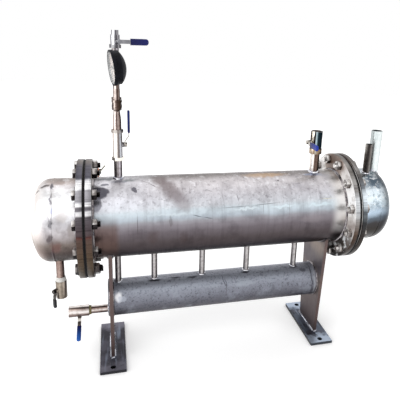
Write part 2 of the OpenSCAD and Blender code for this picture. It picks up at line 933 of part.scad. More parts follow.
module gauge_tee() {
    color(dull_steel)
        translate([standpipe_x, 0, tee_z])
            difference() {
                union() {
                    translate([0, 0, -tee_len / 2])
                        cylinder(h = tee_len, d = fitting_d);
                    for (end = [-tee_len / 2, tee_len / 2 - rim_len])
                        translate([0, 0, end])
                            cylinder(h = rim_len, d = fitting_rim_d);
                    rotate([90, 0, 0])
                        cylinder(h = tee_arm, d = fitting_d - arm_step);
                    translate([0, -tee_arm + rim_len, 0])
                        rotate([90, 0, 0])
                            cylinder(h = rim_len, d = fitting_rim_d);
                }
                translate([0, 0, -tee_len / 2 - cut])
                    cylinder(h = fitting_depth + cut, d = fitting_socket_d);
                translate([0, 0, tee_len / 2 - fitting_depth])
                    cylinder(h = fitting_depth + cut, d = fitting_socket_d);
                translate([0, -tee_arm + fitting_depth, 0])
                    rotate([90, 0, 0])
                        cylinder(h = fitting_depth + cut, d = fitting_socket_d);
            }
}

module gauge_branch() {
    y0 = -gauge_reach + elbow_rise - fitting_depth;
    y1 = -tee_arm + fitting_depth;
    color(dull_steel)
        translate([standpipe_x, y1, tee_z])
            rotate([90, 0, 0])
                difference() {
                    cylinder(h = y1 - y0, d = branch_od);
                    translate([0, 0, -cut])
                        cylinder(h = y1 - y0 + 2 * cut, d = branch_od - 2 * branch_wall);
                }
}

module gauge_elbow() {
    color(dull_steel)
        translate([standpipe_x, -gauge_reach, tee_z])
            difference() {
                union() {
                    sphere(d = fitting_d + arm_step);
                    cylinder(h = elbow_rise, d = fitting_d - arm_step);
                    rotate([-90, 0, 0])
                        cylinder(h = elbow_rise, d = fitting_d - arm_step);
                    translate([0, 0, elbow_rise - rim_len])
                        cylinder(h = rim_len, d = fitting_rim_d);
                    translate([0, elbow_rise - rim_len, 0])
                        rotate([-90, 0, 0])
                            cylinder(h = rim_len, d = fitting_rim_d);
                }
                translate([0, 0, elbow_rise - fitting_depth])
                    cylinder(h = fitting_depth + cut, d = fitting_socket_d);
                translate([0, elbow_rise - fitting_depth, 0])
                    rotate([-90, 0, 0])
                        cylinder(h = fitting_depth + cut, d = fitting_socket_d);
            }
}

module gauge_stem() {
    mouth_z = tee_z + elbow_rise;
    color(dull_steel)
        translate([standpipe_x, -gauge_reach, 0]) {
            translate([0, 0, mouth_z - fitting_depth])
                cylinder(h = fitting_depth + cut, d = branch_od);
            translate([0, 0, mouth_z])
                cylinder(h = gauge_stem_len - gauge_neck_len, d = gauge_stem_flats / cos(30), $fn = 6);
            translate([0, 0, mouth_z + gauge_stem_len - gauge_neck_len - cut])
                cylinder(h = gauge_neck_len + neck_seat + cut, d = gauge_neck_d);
        }
}

// Gauge's case in its own frame: a domed back, a drum and a bezel, recessed for the dial
module gauge_case_form() {
    drum_r = gauge_d / 2 - bezel_lip;
    dome_r = (drum_r * drum_r + gauge_dome * gauge_dome) / (2 * gauge_dome);
    difference() {
        union() {
            translate([0, 0, gauge_depth - bezel_h])
                cylinder(h = bezel_h, d = gauge_d);
            intersection() {
                cylinder(h = gauge_depth - bezel_h / 2, r = drum_r);
                translate([0, 0, dome_r])
                    sphere(r = dome_r);
            }
        }
        translate([0, 0, gauge_depth - dial_drop])
            cylinder(h = dial_drop + cut, r = drum_r - gauge_wall);
    }
}

module gauge_case() {
    color(grip_black)
        difference() {
            gauge_frame()
                gauge_case_form();
            translate([standpipe_x, -gauge_reach, gauge_bottom_z - gauge_d / 4])
                cylinder(h = gauge_d / 4 + neck_seat, d = gauge_neck_d + 2 * thread_gap);
        }
}

module gauge_dial() {
    color("#e9dfdc")
        gauge_frame()
            translate([0, 0, gauge_depth - dial_drop]) {
                cylinder(h = dial_t, r = dial_r);
                cylinder(h = dial_drop - glass_t - thread_gap, d = pointer_hub_d);
                rotate([0, 0, pointer_turn])
                    translate([-pointer_hub_d, -pointer_t, dial_t + pointer_t])
                        cube([dial_r * pointer_share + pointer_hub_d, 2 * pointer_t, pointer_t]);
            }
}

module gauge_glass() {
    color("#dfe8ec", 0.35)
        gauge_frame()
            translate([0, 0, gauge_depth - glass_t])
                cylinder(h = glass_t, r = dial_r);
}

module vent_pipe() {
    color(dull_steel)
        upright_pipe(standpipe_x, 0, tee_bottom_z + tee_len - fitting_depth, vent_bottom_z + socket_depth,
            branch_od, branch_wall);
}

module vent_valve() {
    spigot_bore = spigot_od - 2 * branch_wall;
    color(satin_steel)
        vent_frame()
            difference() {
                union() {
                    x_cylinder(-vent_len / 2, vent_len / 2, vent_d);
                    x_hexagon(-vent_len / 2, -vent_len / 2 + hex_end_len, vent_d + hex_step);
                    x_cylinder(0, vent_len / 2 + spigot_len, spigot_od);
                    cylinder(h = gland_top(vent_d), d = gland_d);
                }
                valve_cuts(vent_len, socket_depth, fitting_socket_d, socket_depth, spigot_bore,
                    stem_foot(vent_d), gland_top(vent_d));
                x_cylinder(vent_len / 2 - socket_depth, vent_len / 2 + spigot_len + cut, spigot_bore);
            }
}

module vent_lever() {
    color(bolt_steel)
        vent_frame()
            rotate([0, 0, across])
                lever_with_stem(vent_lever_len, vent_d, vent_rise);
}

module vent_grip() {
    color(grip_blue)
        vent_frame()
            rotate([0, 0, across])
                lever_grip(vent_lever_len, vent_d, vent_rise, grip_from, grip_w);
}

module shell_nozzle() {
    color(dull_steel)
        difference() {
            upright_pipe(nozzle_x, 0, shell_axis_z, nozzle_valve_bottom_z + socket_depth,
                nozzle_od, nozzle_wall);
            shell_core(-face_x, face_x, seat_gap);
        }
}

module shell_nozzle_valve() {
    len = collar_len + hex_body_len;
    nozzle_socket_d = nozzle_od + 2 * thread_gap;
    color(satin_steel)
        nozzle_frame()
            difference() {
                union() {
                    x_cylinder(-len / 2, -len / 2 + collar_len, collar_d);
                    x_hexagon(-len / 2 + collar_len, len / 2, hex_body_flats);
                    cylinder(h = gland_top(hex_body_d), d = gland_d);
                }
                valve_cuts(len, socket_depth, nozzle_socket_d, socket_depth, nozzle_socket_d,
                    stem_foot(hex_body_d), gland_top(hex_body_d));
            }
}

module shell_nozzle_lever() {
    color(bolt_steel)
        nozzle_frame()
            rotate([0, 0, across])
                lever_with_stem(nozzle_lever_len, hex_body_d, nozzle_rise);
}

module shell_nozzle_grip() {
    color(grip_blue)
        nozzle_frame()
            rotate([0, 0, across])
                lever_grip(nozzle_lever_len, hex_body_d, nozzle_rise, grip_from, grip_w);
}

module tall_bonnet_nozzle() {
    color(satin_steel)
        difference() {
            upright_pipe(tall_x, tall_nozzle_y, shell_axis_z, shell_axis_z + tall_nozzle_top,
                tall_nozzle_od, tall_nozzle_wall);
            translate([right_seam_x, 0, 0])
                head_solid(seat_gap);
        }
}

module short_bonnet_nozzle() {
    color(dull_steel)
        difference() {
            upright_pipe(short_x, -short_nozzle_y, shell_axis_z, shell_axis_z + short_nozzle_top,
                short_nozzle_od, short_nozzle_wall);
            shell_core(bonnet_face_x, right_seam_x + head_skirt, seat_gap);
        }
}

// Frame of the air cock's plug: X along its rod, Z along the plug towards the front
module cock_frame() {
    rod = [cos(cock_rod_angle), 0, sin(cock_rod_angle)];
    in_frame([cock_x, cock_y, cock_plug_z], rod, [0, -1, 0])
        children();
}

module air_cock() {
    color("#a8753a")
        difference() {
            union() {
                translate([cock_x, cock_y, shell_axis_z])
                    cylinder(h = cock_plug_z - shell_axis_z + cock_h / 2, d = cock_d);
                cock_frame()
                    cylinder(h = cock_hub_y - hub_gap, d = cock_plug_d + 2 * stem_gap + 2 * cock_boss_wall);
            }
            shell_core(-face_x, face_x, seat_gap);
            cock_frame()
                translate([0, 0, cock_d / 4])
                    cylinder(h = cock_d, d = cock_plug_d + 2 * stem_gap);
        }
}

module air_cock_lever() {
    color(bolt_steel)
        cock_frame() {
            translate([0, 0, cock_d / 4 + hub_gap])
                cylinder(h = cock_hub_y + cock_hub_t - cock_d / 4 - hub_gap, d = cock_plug_d);
            translate([0, 0, cock_hub_y + cock_hub_t / 2])
                x_cylinder(0, cock_rod_len, cock_rod_d);
        }
}

shell();
left_shell_flange();
right_shell_flange();
flange_gaskets();
left_bonnet_flange();
right_bonnet_flange();
left_bonnet_barrel();
right_bonnet_barrel();
left_dished_head();
right_dished_head();
flange_bolts();
left_leg();
right_leg();
foot_plates();
header_pipe();
header_end_plates();
riser_pipes();
header_drain_nipple();
header_drain_valve();
header_drain_lever();
header_drain_grip();
bonnet_drain_pipe();
bonnet_drain_valve();
bonnet_drain_lever();
bonnet_drain_grip();
gauge_standpipe();
isolating_valve();
isolating_lever();
isolating_grip();
reducing_nipple();
gauge_tee();
gauge_branch();
gauge_elbow();
gauge_stem();
gauge_case();
gauge_dial();
gauge_glass();
vent_pipe();
vent_valve();
vent_lever();
vent_grip();
shell_nozzle();
shell_nozzle_valve();
shell_nozzle_lever();
shell_nozzle_grip();
tall_bonnet_nozzle();
short_bonnet_nozzle();
air_cock();
air_cock_lever();
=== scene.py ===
"""Looks of a shell and tube heat exchanger: worn steel, welds, bolts, grips and a gauge dial."""

import json
from math import atan2, ceil, cos, pi, radians, sin, sqrt

import bmesh
import bpy
from mathutils import Matrix, Vector
from mathutils.bvhtree import BVHTree


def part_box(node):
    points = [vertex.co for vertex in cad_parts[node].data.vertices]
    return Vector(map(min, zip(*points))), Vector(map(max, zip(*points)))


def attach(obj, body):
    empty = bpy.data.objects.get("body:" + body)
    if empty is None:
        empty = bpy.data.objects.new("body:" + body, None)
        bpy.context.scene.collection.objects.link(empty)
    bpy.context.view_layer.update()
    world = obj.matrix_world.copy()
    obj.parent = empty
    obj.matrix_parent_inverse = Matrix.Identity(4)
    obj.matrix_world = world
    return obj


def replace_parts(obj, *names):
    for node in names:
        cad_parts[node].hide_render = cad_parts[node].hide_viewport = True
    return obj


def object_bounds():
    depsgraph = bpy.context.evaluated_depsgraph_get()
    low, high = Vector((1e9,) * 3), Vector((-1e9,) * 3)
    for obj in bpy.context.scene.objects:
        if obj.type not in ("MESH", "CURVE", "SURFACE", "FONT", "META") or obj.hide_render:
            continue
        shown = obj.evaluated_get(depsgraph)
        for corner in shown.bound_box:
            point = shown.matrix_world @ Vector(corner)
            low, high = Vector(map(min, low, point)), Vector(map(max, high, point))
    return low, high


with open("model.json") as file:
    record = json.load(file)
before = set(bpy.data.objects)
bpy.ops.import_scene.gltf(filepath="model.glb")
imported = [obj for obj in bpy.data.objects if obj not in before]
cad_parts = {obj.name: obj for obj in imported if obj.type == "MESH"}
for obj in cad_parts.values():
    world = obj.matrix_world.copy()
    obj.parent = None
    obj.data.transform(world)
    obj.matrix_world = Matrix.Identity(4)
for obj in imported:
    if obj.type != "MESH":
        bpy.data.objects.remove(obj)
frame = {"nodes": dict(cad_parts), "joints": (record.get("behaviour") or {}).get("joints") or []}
CAD_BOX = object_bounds()

bl_info = {
    "name": "Heat exchanger looks",
    "version": (1, 0, 0),
    "blender": (4, 5, 0),
    "location": "View3D > Sidebar > Exchanger",
    "description": "Dresses the heat exchanger with worn steel, welds, bolts, vinyl grips and a gauge dial",
    "category": "Object",
}

MM = 0.001
ALONG, BACK, UP = Vector((1, 0, 0)), Vector((0, 1, 0)), Vector((0, 0, 1))
FIXED = "frame"
NODES = frame["nodes"]
HANDLES = {joint["child"]: joint for joint in frame["joints"]}


def middle(node):
    """Middle of a CAD node's box."""
    low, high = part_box(node)
    return (low + high) / 2


def reach(node):
    """Half the size of a CAD node's box."""
    low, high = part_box(node)
    return (high - low) / 2


# Places that the frame gives
SHELL_Z = middle("shell").z
SHELL_R = reach("shell").z
HEADER_Z = middle("header_pipe").z
HEADER_R = reach("header_pipe").z
FLANGE_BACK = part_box("right_shell_flange")[0].x
BONNET_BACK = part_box("right_bonnet_flange")[1].x
LEFT_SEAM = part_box("left_bonnet_barrel")[0].x
RIGHT_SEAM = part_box("right_bonnet_barrel")[1].x
HEADER_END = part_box("header_end_plates")[1].x
GASKET_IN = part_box("right_shell_flange")[1].x
GASKET_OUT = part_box("right_bonnet_flange")[0].x
FOOT_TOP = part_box("foot_plates")[1].z


def linear(code):
    """Linear colour of an sRGB hex value."""
    parts = [int(code[i:i + 2], 16) / 255 for i in (1, 3, 5)]
    return (*((c / 12.92 if c <= 0.04045 else ((c + 0.055) / 1.055) ** 2.4) for c in parts), 1.0)


def length(name, words, default):
    """A size that a user may change, in metres."""
    return bpy.props.FloatProperty(name=name, description=words, default=default, unit="LENGTH", precision=4)


def colour(name, words, code):
    """A colour that a user may change."""
    start = linear(code)[:3]
    return bpy.props.FloatVectorProperty(name=name, description=words, default=start, subtype="COLOR")


class ExchangerSizes(bpy.types.PropertyGroup):
    """Sizes of the pieces that dress the frame."""

    fillet: length("Fillet weld", "Radius of the bead round a flange, leg or nozzle", 5.5 * MM)
    small_fillet: length("Small fillet weld", "Radius of the bead round a small pipe", 3.4 * MM)
    butt: length("Butt weld", "Radius of the bead in a bonnet's seam", 5 * MM)
    ripple: length("Weld ripple", "Distance between the ripples of a bead", 4.5 * MM)
    bolt_flats: length("Bolt flats", "Width of a bolt head or nut across its flats", 30 * MM)
    bolt_head: length("Bolt head", "Height of a bolt head", 12 * MM)
    nut: length("Nut", "Height of a nut", 16 * MM)
    bolt_tail: length("Bolt tail", "Thread that stands out of a nut", 9 * MM)
    bolt_thread: length("Bolt thread", "Diameter of a bolt's thread", 20 * MM)
    thread_pitch: length("Thread pitch", "Distance between the turns of a bolt's thread", 2.5 * MM)
    hex_chamfer: length("Hexagon chamfer", "Chamfer round a bolt head or nut", 1.8 * MM)
    edge_round: length("Edge rounding", "Rounding of the cut edges of plates and flanges", 0.9 * MM)
    tape: length("Tape", "Thickness of the thread tape above the bonnet drain valve", 2.2 * MM)
    tape_width: length("Tape width", "Width of the thread tape above the bonnet drain valve", 15 * MM)
    sealant: length("Sealant", "Radius of the thread sealant beside the header drain valve", 3.2 * MM)


class ExchangerColours(bpy.types.PropertyGroup):
    """Colours of the pieces that aren't bare steel."""

    blue_vinyl: colour("Blue vinyl", "Dipped grips of the lever valves", "#0b1250")
    black_vinyl: colour("Black vinyl", "Dipped grip of the bonnet drain valve", "#0d0d0f")
    gasket: colour("Gasket", "Sheet rubber between the flanges", "#0c0b0d")
    enamel: colour("Gauge enamel", "Case of the pressure gauge", "#181920")
    dial: colour("Dial", "Face of the pressure gauge", "#cdb5ac")
    dial_print: colour("Dial print", "Marks and pointer of the pressure gauge", "#35302f")
    brass: colour("Brass", "Body of the air cock", "#cf6a1e")
    plate: colour("Plating", "Lever of the air cock", "#dedbc8")
    tape: colour("Thread tape", "Tape above the bonnet drain valve", "#eceae6")
    sealant: colour("Sealant", "Paste beside the header drain valve", "#8d8258")
    floor: colour("Floor", "Floor under the exchanger", "#f7f7f7")


# Nodes of the materials

# Nearly all values of a noise lie between these
NOISE_LOW, NOISE_HIGH = 0.3, 0.7
WAVER_SIZE = 90 * MM
RAGGED_SIZE = 18 * MM
GRAIN_BUMP = 0.35


def add(tree, kind, inputs=None, out=0, stops=(), **settings):
    """Adds a shader node and gives one of its outputs.

    An input takes a value or another node's output, and stops fill a colour ramp."""
    node = tree.nodes.new("ShaderNode" + kind)
    for name, value in settings.items():
        setattr(node, name, value)
    for key, value in (inputs or {}).items():
        if isinstance(value, bpy.types.NodeSocket):
            tree.links.new(value, node.inputs[key])
        else:
            node.inputs[key].default_value = value
    for index, (place, code) in enumerate(stops):
        elements = node.color_ramp.elements
        element = elements[index] if index < len(elements) else elements.new(place)
        element.position = place
        element.color = linear(code)
    return node.outputs[out] if node.outputs else node


def begin(name):
    """A new material with an empty tree."""
    material = bpy.data.materials.new(name)
    material.use_nodes = True
    material.node_tree.nodes.clear()
    return material, material.node_tree


def place_on(tree, axis):
    """A surface's place along X, Y or Z, in metres."""
    return add(tree, "SeparateXYZ", {0: add(tree, "TexCoord", out="Object")}, axis)


def facing(tree, axis):
    """How far a surface faces along X, Y or Z, from -1 to 1."""
    return add(tree, "SeparateXYZ", {0: add(tree, "TexCoord", out="Normal")}, axis)


def noise_patches(tree, size, detail=4.0, rough=0.55, stretch=(1, 1, 1)):
    """Noise patches from 0 to 1, size metres wide, drawn out along an axis where stretch is over 1; they lay
    wear, grain and painted light alike.
    """
    scale = tuple(1 / (size * share) for share in stretch)
    drawn = add(tree, "Mapping", {"Vector": add(tree, "TexCoord", out="Object"), "Scale": scale})
    return add(tree, "TexNoise", {"Vector": drawn, "Scale": 1.0, "Detail": detail, "Roughness": rough})


def patched(tree, under, code, value, low, high, share=1.0, where=None, blend="MIX"):
    """Lays a colour where a value runs from low to high, at most by a share.

    With where, a second value and its range, it lies only where that value runs so too."""
    amount = add(tree, "MapRange", {0: value, 1: low, 2: high, 4: share}, interpolation_type="SMOOTHSTEP")
    if where:
        inside = add(tree, "MapRange", dict(enumerate(where)), interpolation_type="SMOOTHSTEP")
        amount = add(tree, "Math", {0: amount, 1: inside}, operation="MULTIPLY")
    return add(tree, "Mix", {0: amount, 6: under, 7: linear(code)}, 2, data_type="RGBA", blend_type=blend)


def height_angle(tree, axis_z, both_sides=True, blunt=0.0):
    """Angle round a level axis above the front horizontal, the same on both sides if so asked.

    A blunt distance keeps it from turning sharply where a head or an end plate comes near the axis."""
    rise = add(tree, "Math", {0: place_on(tree, "Z"), 1: axis_z}, operation="SUBTRACT")
    front = add(tree, "Math", {0: place_on(tree, "Y"), 1: -1.0}, operation="MULTIPLY")
    if both_sides:
        arm = add(tree, "CombineXYZ", {0: front, 1: blunt})
        front = add(tree, "VectorMath", {0: arm}, "Value", operation="LENGTH")
    return add(tree, "Math", {0: rise, 1: front}, operation="ARCTAN2")


def ramp(tree, value, low, high, stops):
    """Colours by a value, between stops in the value's own unit."""
    share = add(tree, "MapRange", {0: value, 1: low, 2: high})
    places = [((at - low) / (high - low), code) for at, code in sorted(stops)]
    return add(tree, "ValToRGB", {0: share}, stops=places)


def painted_round_shading(tree, axis_z, stops, waver, blunt=0.0):
    """Painted light, shade and reflection of a rolled surface: its tone goes by the height angle, in
    degrees, and wavers a little.
    """
    spread = {0: noise_patches(tree, WAVER_SIZE), 1: NOISE_LOW, 2: NOISE_HIGH, 3: -waver, 4: waver}
    shift = add(tree, "MapRange", spread)
    angle = add(tree, "Math", {0: height_angle(tree, axis_z, True, blunt)}, operation="DEGREES")
    return ramp(tree, add(tree, "Math", {0: angle, 1: shift}, operation="ADD"), -90, 90, stops)


def painted_facing_shading(tree, towards, stops):
    """Painted light and shade of small bright steel: its tone goes by how far its surface faces one way,
    from -1 to 1.
    """
    ways = {0: add(tree, "TexCoord", out="Normal"), 1: tuple(Vector(towards).normalized())}
    return ramp(tree, add(tree, "VectorMath", ways, "Value", operation="DOT_PRODUCT"), -1, 1, stops)


def painted_upright_shading(tree, pipe, stops):
    """Painted light and shade of an upright piece: its tone goes by the angle round its pipe, in degrees.

    The angle is 0 in front and grows to the right. The back has the tone of the first stop."""
    axis = middle(pipe)
    right = add(tree, "Math", {0: place_on(tree, "X"), 1: axis.x}, operation="SUBTRACT")
    front = add(tree, "Math", {0: axis.y, 1: place_on(tree, "Y")}, operation="SUBTRACT")
    angle = add(tree, "Math", {0: right, 1: front}, operation="ARCTAN2")
    angle = add(tree, "Math", {0: angle}, operation="DEGREES")
    back = stops[0][1]
    return ramp(tree, angle, -180, 180, ((-180, back), *stops, (180, back)))


def unrolled(tree, axis_z, radius, ragged):
    """Place on a rolled surface laid flat: along the axis, then up round it from the front.

    It is pulled about by a ragged distance, so that what is drawn there has ragged edges."""
    arc = add(tree, "Math", {0: height_angle(tree, axis_z, False), 1: radius}, operation="MULTIPLY")
    flat = add(tree, "CombineXYZ", {0: place_on(tree, "X"), 1: arc})
    place = add(tree, "TexCoord", out="Object")
    noise = add(tree, "TexNoise", {"Vector": place, "Scale": 1 / RAGGED_SIZE, "Detail": 3.0}, "Color")
    centred = add(tree, "VectorMath", {0: noise, 1: (0.5, 0.5, 0.5)}, operation="SUBTRACT")
    pull = add(tree, "VectorMath", {0: centred, "Scale": ragged}, operation="SCALE")
    return add(tree, "VectorMath", {0: flat, 1: pull}, operation="ADD")


def marked(tree, under, axis_z, radius, ragged, core, marks):
    """Lays stains, scratches, painted highlights and painted shadows on a rolled surface, each full in its
    core and ragged at its edge.

    A mark is its x and angle, length, width, tilt, colour and strength."""
    flat = unrolled(tree, axis_z, radius, ragged)
    for x, angle, long, wide, tilt, code, strength in marks:
        shape = {"Vector": flat, "Location": (x * MM, radius * radians(angle), 0),
                 "Rotation": (0, 0, radians(tilt)), "Scale": (long * MM / 2, wide * MM / 2, 1)}
        near = add(tree, "Mapping", shape, vector_type="TEXTURE")
        off = add(tree, "VectorMath", {0: near}, "Value", operation="LENGTH")
        under = patched(tree, under, code, off, 1.0, core, strength)
    return under


def close(tree, base, rough, grain, depth, metal=1.0, shine=0.5):
    """Ends a finish: roughness over a range by the grain, and a faint bump of it.

    Real grain is finer than the picture can show, so finishes draw it from 1 to 6 mm wide."""
    spread = {0: grain, 1: NOISE_LOW, 2: NOISE_HIGH, 3: rough[0], 4: rough[1]}
    bump = {"Strength": GRAIN_BUMP, "Distance": depth, "Height": grain}
    surface = {"Base Color": base, "Metallic": metal, "Specular IOR Level": shine,
               "Roughness": add(tree, "MapRange", spread), "Normal": add(tree, "Bump", bump)}
    add(tree, "OutputMaterial", {"Surface": add(tree, "BsdfPrincipled", surface)})


# Finishes

def rolled_shell_steel():
    """Rolled stainless pipe, satin from the mill, with painted light: a painted blue white highlight band in
    front, mottled above, painted dark shade below.
    """
    material, tree = begin("satin_rolled_stainless")
    along = place_on(tree, "X")
    angle = height_angle(tree, SHELL_Z)
    above = (angle, radians(18), radians(36))
    tone = painted_round_shading(tree, SHELL_Z, SHELL_TONE, 2)
    # Painted blue white sheen near the standpipe, and browner by the left flange
    tone = patched(tree, tone, "#e9ebf3", along, *SHEEN_X, 0.4, above)
    tone = patched(tree, tone, "#5d473f", along, *BROWNED_X, 0.65, (angle, radians(26), radians(4)))
    # Hoop streaks 12 mm wide, clouds 50 mm wide, and dark and pale mottles 11 and 20 mm wide
    streaks = noise_patches(tree, 12 * MM, 4.0, 0.6, (1, 16, 16))
    tone = patched(tree, tone, "#8f8a8d", streaks, 0.48, 0.74, 0.22, blend="MULTIPLY")
    tone = patched(tree, tone, "#a09c9f", noise_patches(tree, 50 * MM, 5.0), 0.42, 0.68, 0.35, blend="MULTIPLY")
    tone = patched(tree, tone, "#8f898c", noise_patches(tree, 11 * MM, 6.0, 0.7), 0.5, 0.68, 0.5, above, "MULTIPLY")
    tone = patched(tree, tone, "#eff0f4", noise_patches(tree, 20 * MM, 6.0, 0.7), 0.53, 0.68, 0.4, above)
    # Bright where the right flange is mirrored
    tone = patched(tree, tone, "#f6f4f2", along, *MIRROR_X, 0.95, (angle, radians(-35), radians(5)))
    for ragged, core, marks in SHELL_MARKS:
        tone = marked(tree, tone, SHELL_Z, SHELL_R, ragged * MM, core, marks)
    # Hoop grain left by the rolls
    close(tree, tone, (0.3, 0.46), noise_patches(tree, 2 * MM, 2.0, 0.5, (1, 25, 25)), 0.15 * MM)
    return material


# Places along the shell from which a tone comes in, and where it is full
SHEEN_X = (-160 * MM, -360 * MM)
BROWNED_X = (-350 * MM, -372 * MM)
MIRROR_X = (370 * MM, 420 * MM)
# Painted light, shade and reflection of the shell by its height angle in degrees
SHELL_TONE = (
    (90, "#78716f"), (82, "#938d8d"), (72, "#b8b3b5"), (60, "#cbc7ca"), (48, "#d2cfd4"), (38, "#d0d0d6"),
    (30, "#d1d4da"), (25, "#d0dae1"), (20, "#cdd8e0"), (15, "#bac3cc"), (10, "#9a999f"), (5, "#827d83"),
    (-4, "#696267"), (-20, "#534b4d"), (-35, "#3f3639"), (-50, "#352c2e"),
)
# Stains on the front of the shell, and painted highlight streaks in its blue white band: x, angle, length,
# width, tilt, colour, strength
SHELL_STAINS_AND_HIGHLIGHTS = (
    (-222, 80, 74, 90, 0, "#6a5f5f", 0.75),
    (-202, 64, 78, 95, 15, "#6f6465", 0.75),
    (-176, 49, 84, 90, 25, "#7f7577", 0.68),
    (-152, 34, 80, 80, 20, "#918a8e", 0.6),
    (-320, 80, 62, 30, 8, "#6b6e70", 0.8),
    (-392, 86, 70, 34, 0, "#5f6266", 0.8),
    (155, 82, 220, 50, 0, "#b08e66", 0.6),
    (335, 78, 100, 30, 0, "#8f9cb8", 0.7),
    (385, 72, 60, 60, 0, "#8c8a90", 0.5),
    (-250, -12, 50, 80, 0, "#4b3c3a", 0.35),
    (-150, -16, 40, 70, 0, "#463836", 0.3),
    (300, 2, 130, 40, 0, "#8f8689", 0.3),
    (60, 22, 110, 12, 2, "#e6f1f6", 0.6),
    (190, 23, 120, 12, 3, "#e1eff6", 0.65),
    (330, 23, 120, 14, 2, "#dcecf3", 0.6),
    (-200, 20, 190, 12, 0, "#e3edf1", 0.3),
)
# Dark blotches with harder edges
SHELL_BLOTCHES = (
    (-306, 58, 22, 26, 30, "#5f5d66", 0.9),
    (-398, 71, 30, 13, 0, "#686872", 0.85),
    (-414, 56, 62, 54, 0, "#4d4b55", 0.92),
    (-424, 40, 36, 64, 0, "#66646e", 0.75),
    (-352, 76, 60, 14, 0, "#7d7f8a", 0.6),
    (-195, 11, 14, 40, 0, "#55504f", 0.35),
    (190, 66, 9, 7, 0, "#4d494c", 0.9),
)
SHELL_SCRATCHES = (
    (-300, 5, 3, 110, 0, "#4c4547", 0.7),
    (-108, 16, 46, 3.4, -14, "#3f4347", 0.85),
    (-72, 12.5, 42, 3, -12, "#3f4347", 0.8),
    (-274, 75, 36, 3.4, -35, "#5b5658", 0.85),
    (-246, 65.5, 42, 3.6, -42, "#5b5658", 0.85),
    (20, 25.5, 120, 2.8, 1, "#6d7278", 0.9),
    (130, 27.5, 130, 2.8, 3, "#6d7278", 0.9),
    (-61, 51.5, 38, 2.6, -26, "#857f84", 0.8),
    (71, 75, 50, 2.8, -55, "#6f6664", 0.8),
    (110, 72, 46, 2.8, -50, "#736b6a", 0.75),
    (33, 38, 3, 40, 12, "#77737b", 0.75),
    (260, 58, 40, 2.6, 12, "#87838a", 0.7),
    (232, 48, 30, 2.6, -30, "#87838a", 0.7),
    (361, 31, 60, 3, 0, "#d9d2b0", 0.7),
    (120, 22, 3, 60, 0, "#746f75", 0.55),
    (215, 14, 3, 90, 0, "#6b6062", 0.55),
    (-20, 44, 2.6, 60, 6, "#8b868c", 0.6),
)
# Raggedness of each kind of mark in mm, the share of it that is full, and the marks
SHELL_MARKS = ((26, 0.3, SHELL_STAINS_AND_HIGHLIGHTS), (18, 0.75, SHELL_BLOTCHES), (2.5, 0.3, SHELL_SCRATCHES))
# How bluntly the tones turn at the middle of a head
CROWN_BLUNT = 0.8 * SHELL_R


def left_bonnet_steel():
    """Left bonnet, spun and ground stainless, with painted light and shade: nearly white above, cream at the
    crown, brown grey below.
    """
    material, tree = begin("ground_stainless_left_bonnet")
    along = place_on(tree, "X")
    blunt = add(tree, "MapRange", {0: along, 1: LEFT_SEAM, 2: CAD_BOX[0].x, 4: CROWN_BLUNT})
    angle = height_angle(tree, SHELL_Z, True, blunt)
    tone = painted_round_shading(tree, SHELL_Z, LEFT_BONNET_TONE, 4, blunt)
    # Painted cream and pink reflections at the crown
    crown = (LEFT_SEAM - 10 * MM, LEFT_SEAM - 60 * MM)
    tone = patched(tree, tone, "#f3e8e1", along, *crown, 0.8, (angle, radians(-29), radians(11)))
    tone = patched(tree, tone, "#c4aca3", along, *crown, 0.7, (angle, radians(-6), radians(-40)))
    # Clouds 34 mm wide on the barrel, and white flecks 18 mm wide above
    barrel = (along, LEFT_SEAM - 55 * MM, LEFT_SEAM)
    tone = patched(tree, tone, "#9d9694", noise_patches(tree, 34 * MM, 5.0), 0.42, 0.66, 0.45, barrel, "MULTIPLY")
    above = (angle, radians(-5), radians(25))
    tone = patched(tree, tone, "#fbfbfd", noise_patches(tree, 18 * MM, 6.0, 0.7), 0.5, 0.62, 0.35, above)
    tone = marked(tree, tone, SHELL_Z, SHELL_R, 22 * MM, 0.4, LEFT_BONNET_STAINS_AND_GLINTS)
    close(tree, tone, (0.26, 0.4), noise_patches(tree, 3 * MM, 2.0, 0.5, (1, 12, 12)), 0.12 * MM)
    return material


# Painted light, shade and reflection of the left bonnet by its height angle in degrees
LEFT_BONNET_TONE = (
    (90, "#8f827b"), (80, "#b0a5a2"), (70, "#d6d2d4"), (58, "#f3f3f5"), (40, "#f7f7f9"), (26, "#e2e1e5"),
    (12, "#c6c3c7"), (0, "#a6a0a2"), (-14, "#776d68"), (-28, "#574c49"), (-45, "#3b3231"), (-65, "#2a2321"),
)
# Dark marks along the seam and on top, brown ones below, and painted highlight spots by the seam
LEFT_BONNET_STAINS_AND_GLINTS = (
    (-557, 70, 12, 44, 0, "#55525a", 0.85),
    (-558, 48, 9, 60, 0, "#77737c", 0.8),
    (-556, 33, 20, 22, 0, "#b9bfe0", 0.7),
    (-558, 16, 16, 40, 0, "#5c5a60", 0.8),
    (-560, -4, 18, 44, 0, "#4f474a", 0.75),
    (-557, -30, 14, 80, 0, "#4b4043", 0.7),
    (-578, 73, 40, 14, 0, "#57504f", 0.85),
    (-600, 68, 26, 12, 0, "#6b615e", 0.75),
    (-532, 79, 50, 26, 0, "#9d8f8a", 0.7),
    (-525, 24, 46, 46, 0, "#c9c3c1", 0.6),
    (-500, 5, 30, 60, 0, "#8c8482", 0.6),
    (-545, -18, 44, 60, 0, "#75534f", 0.5),
)


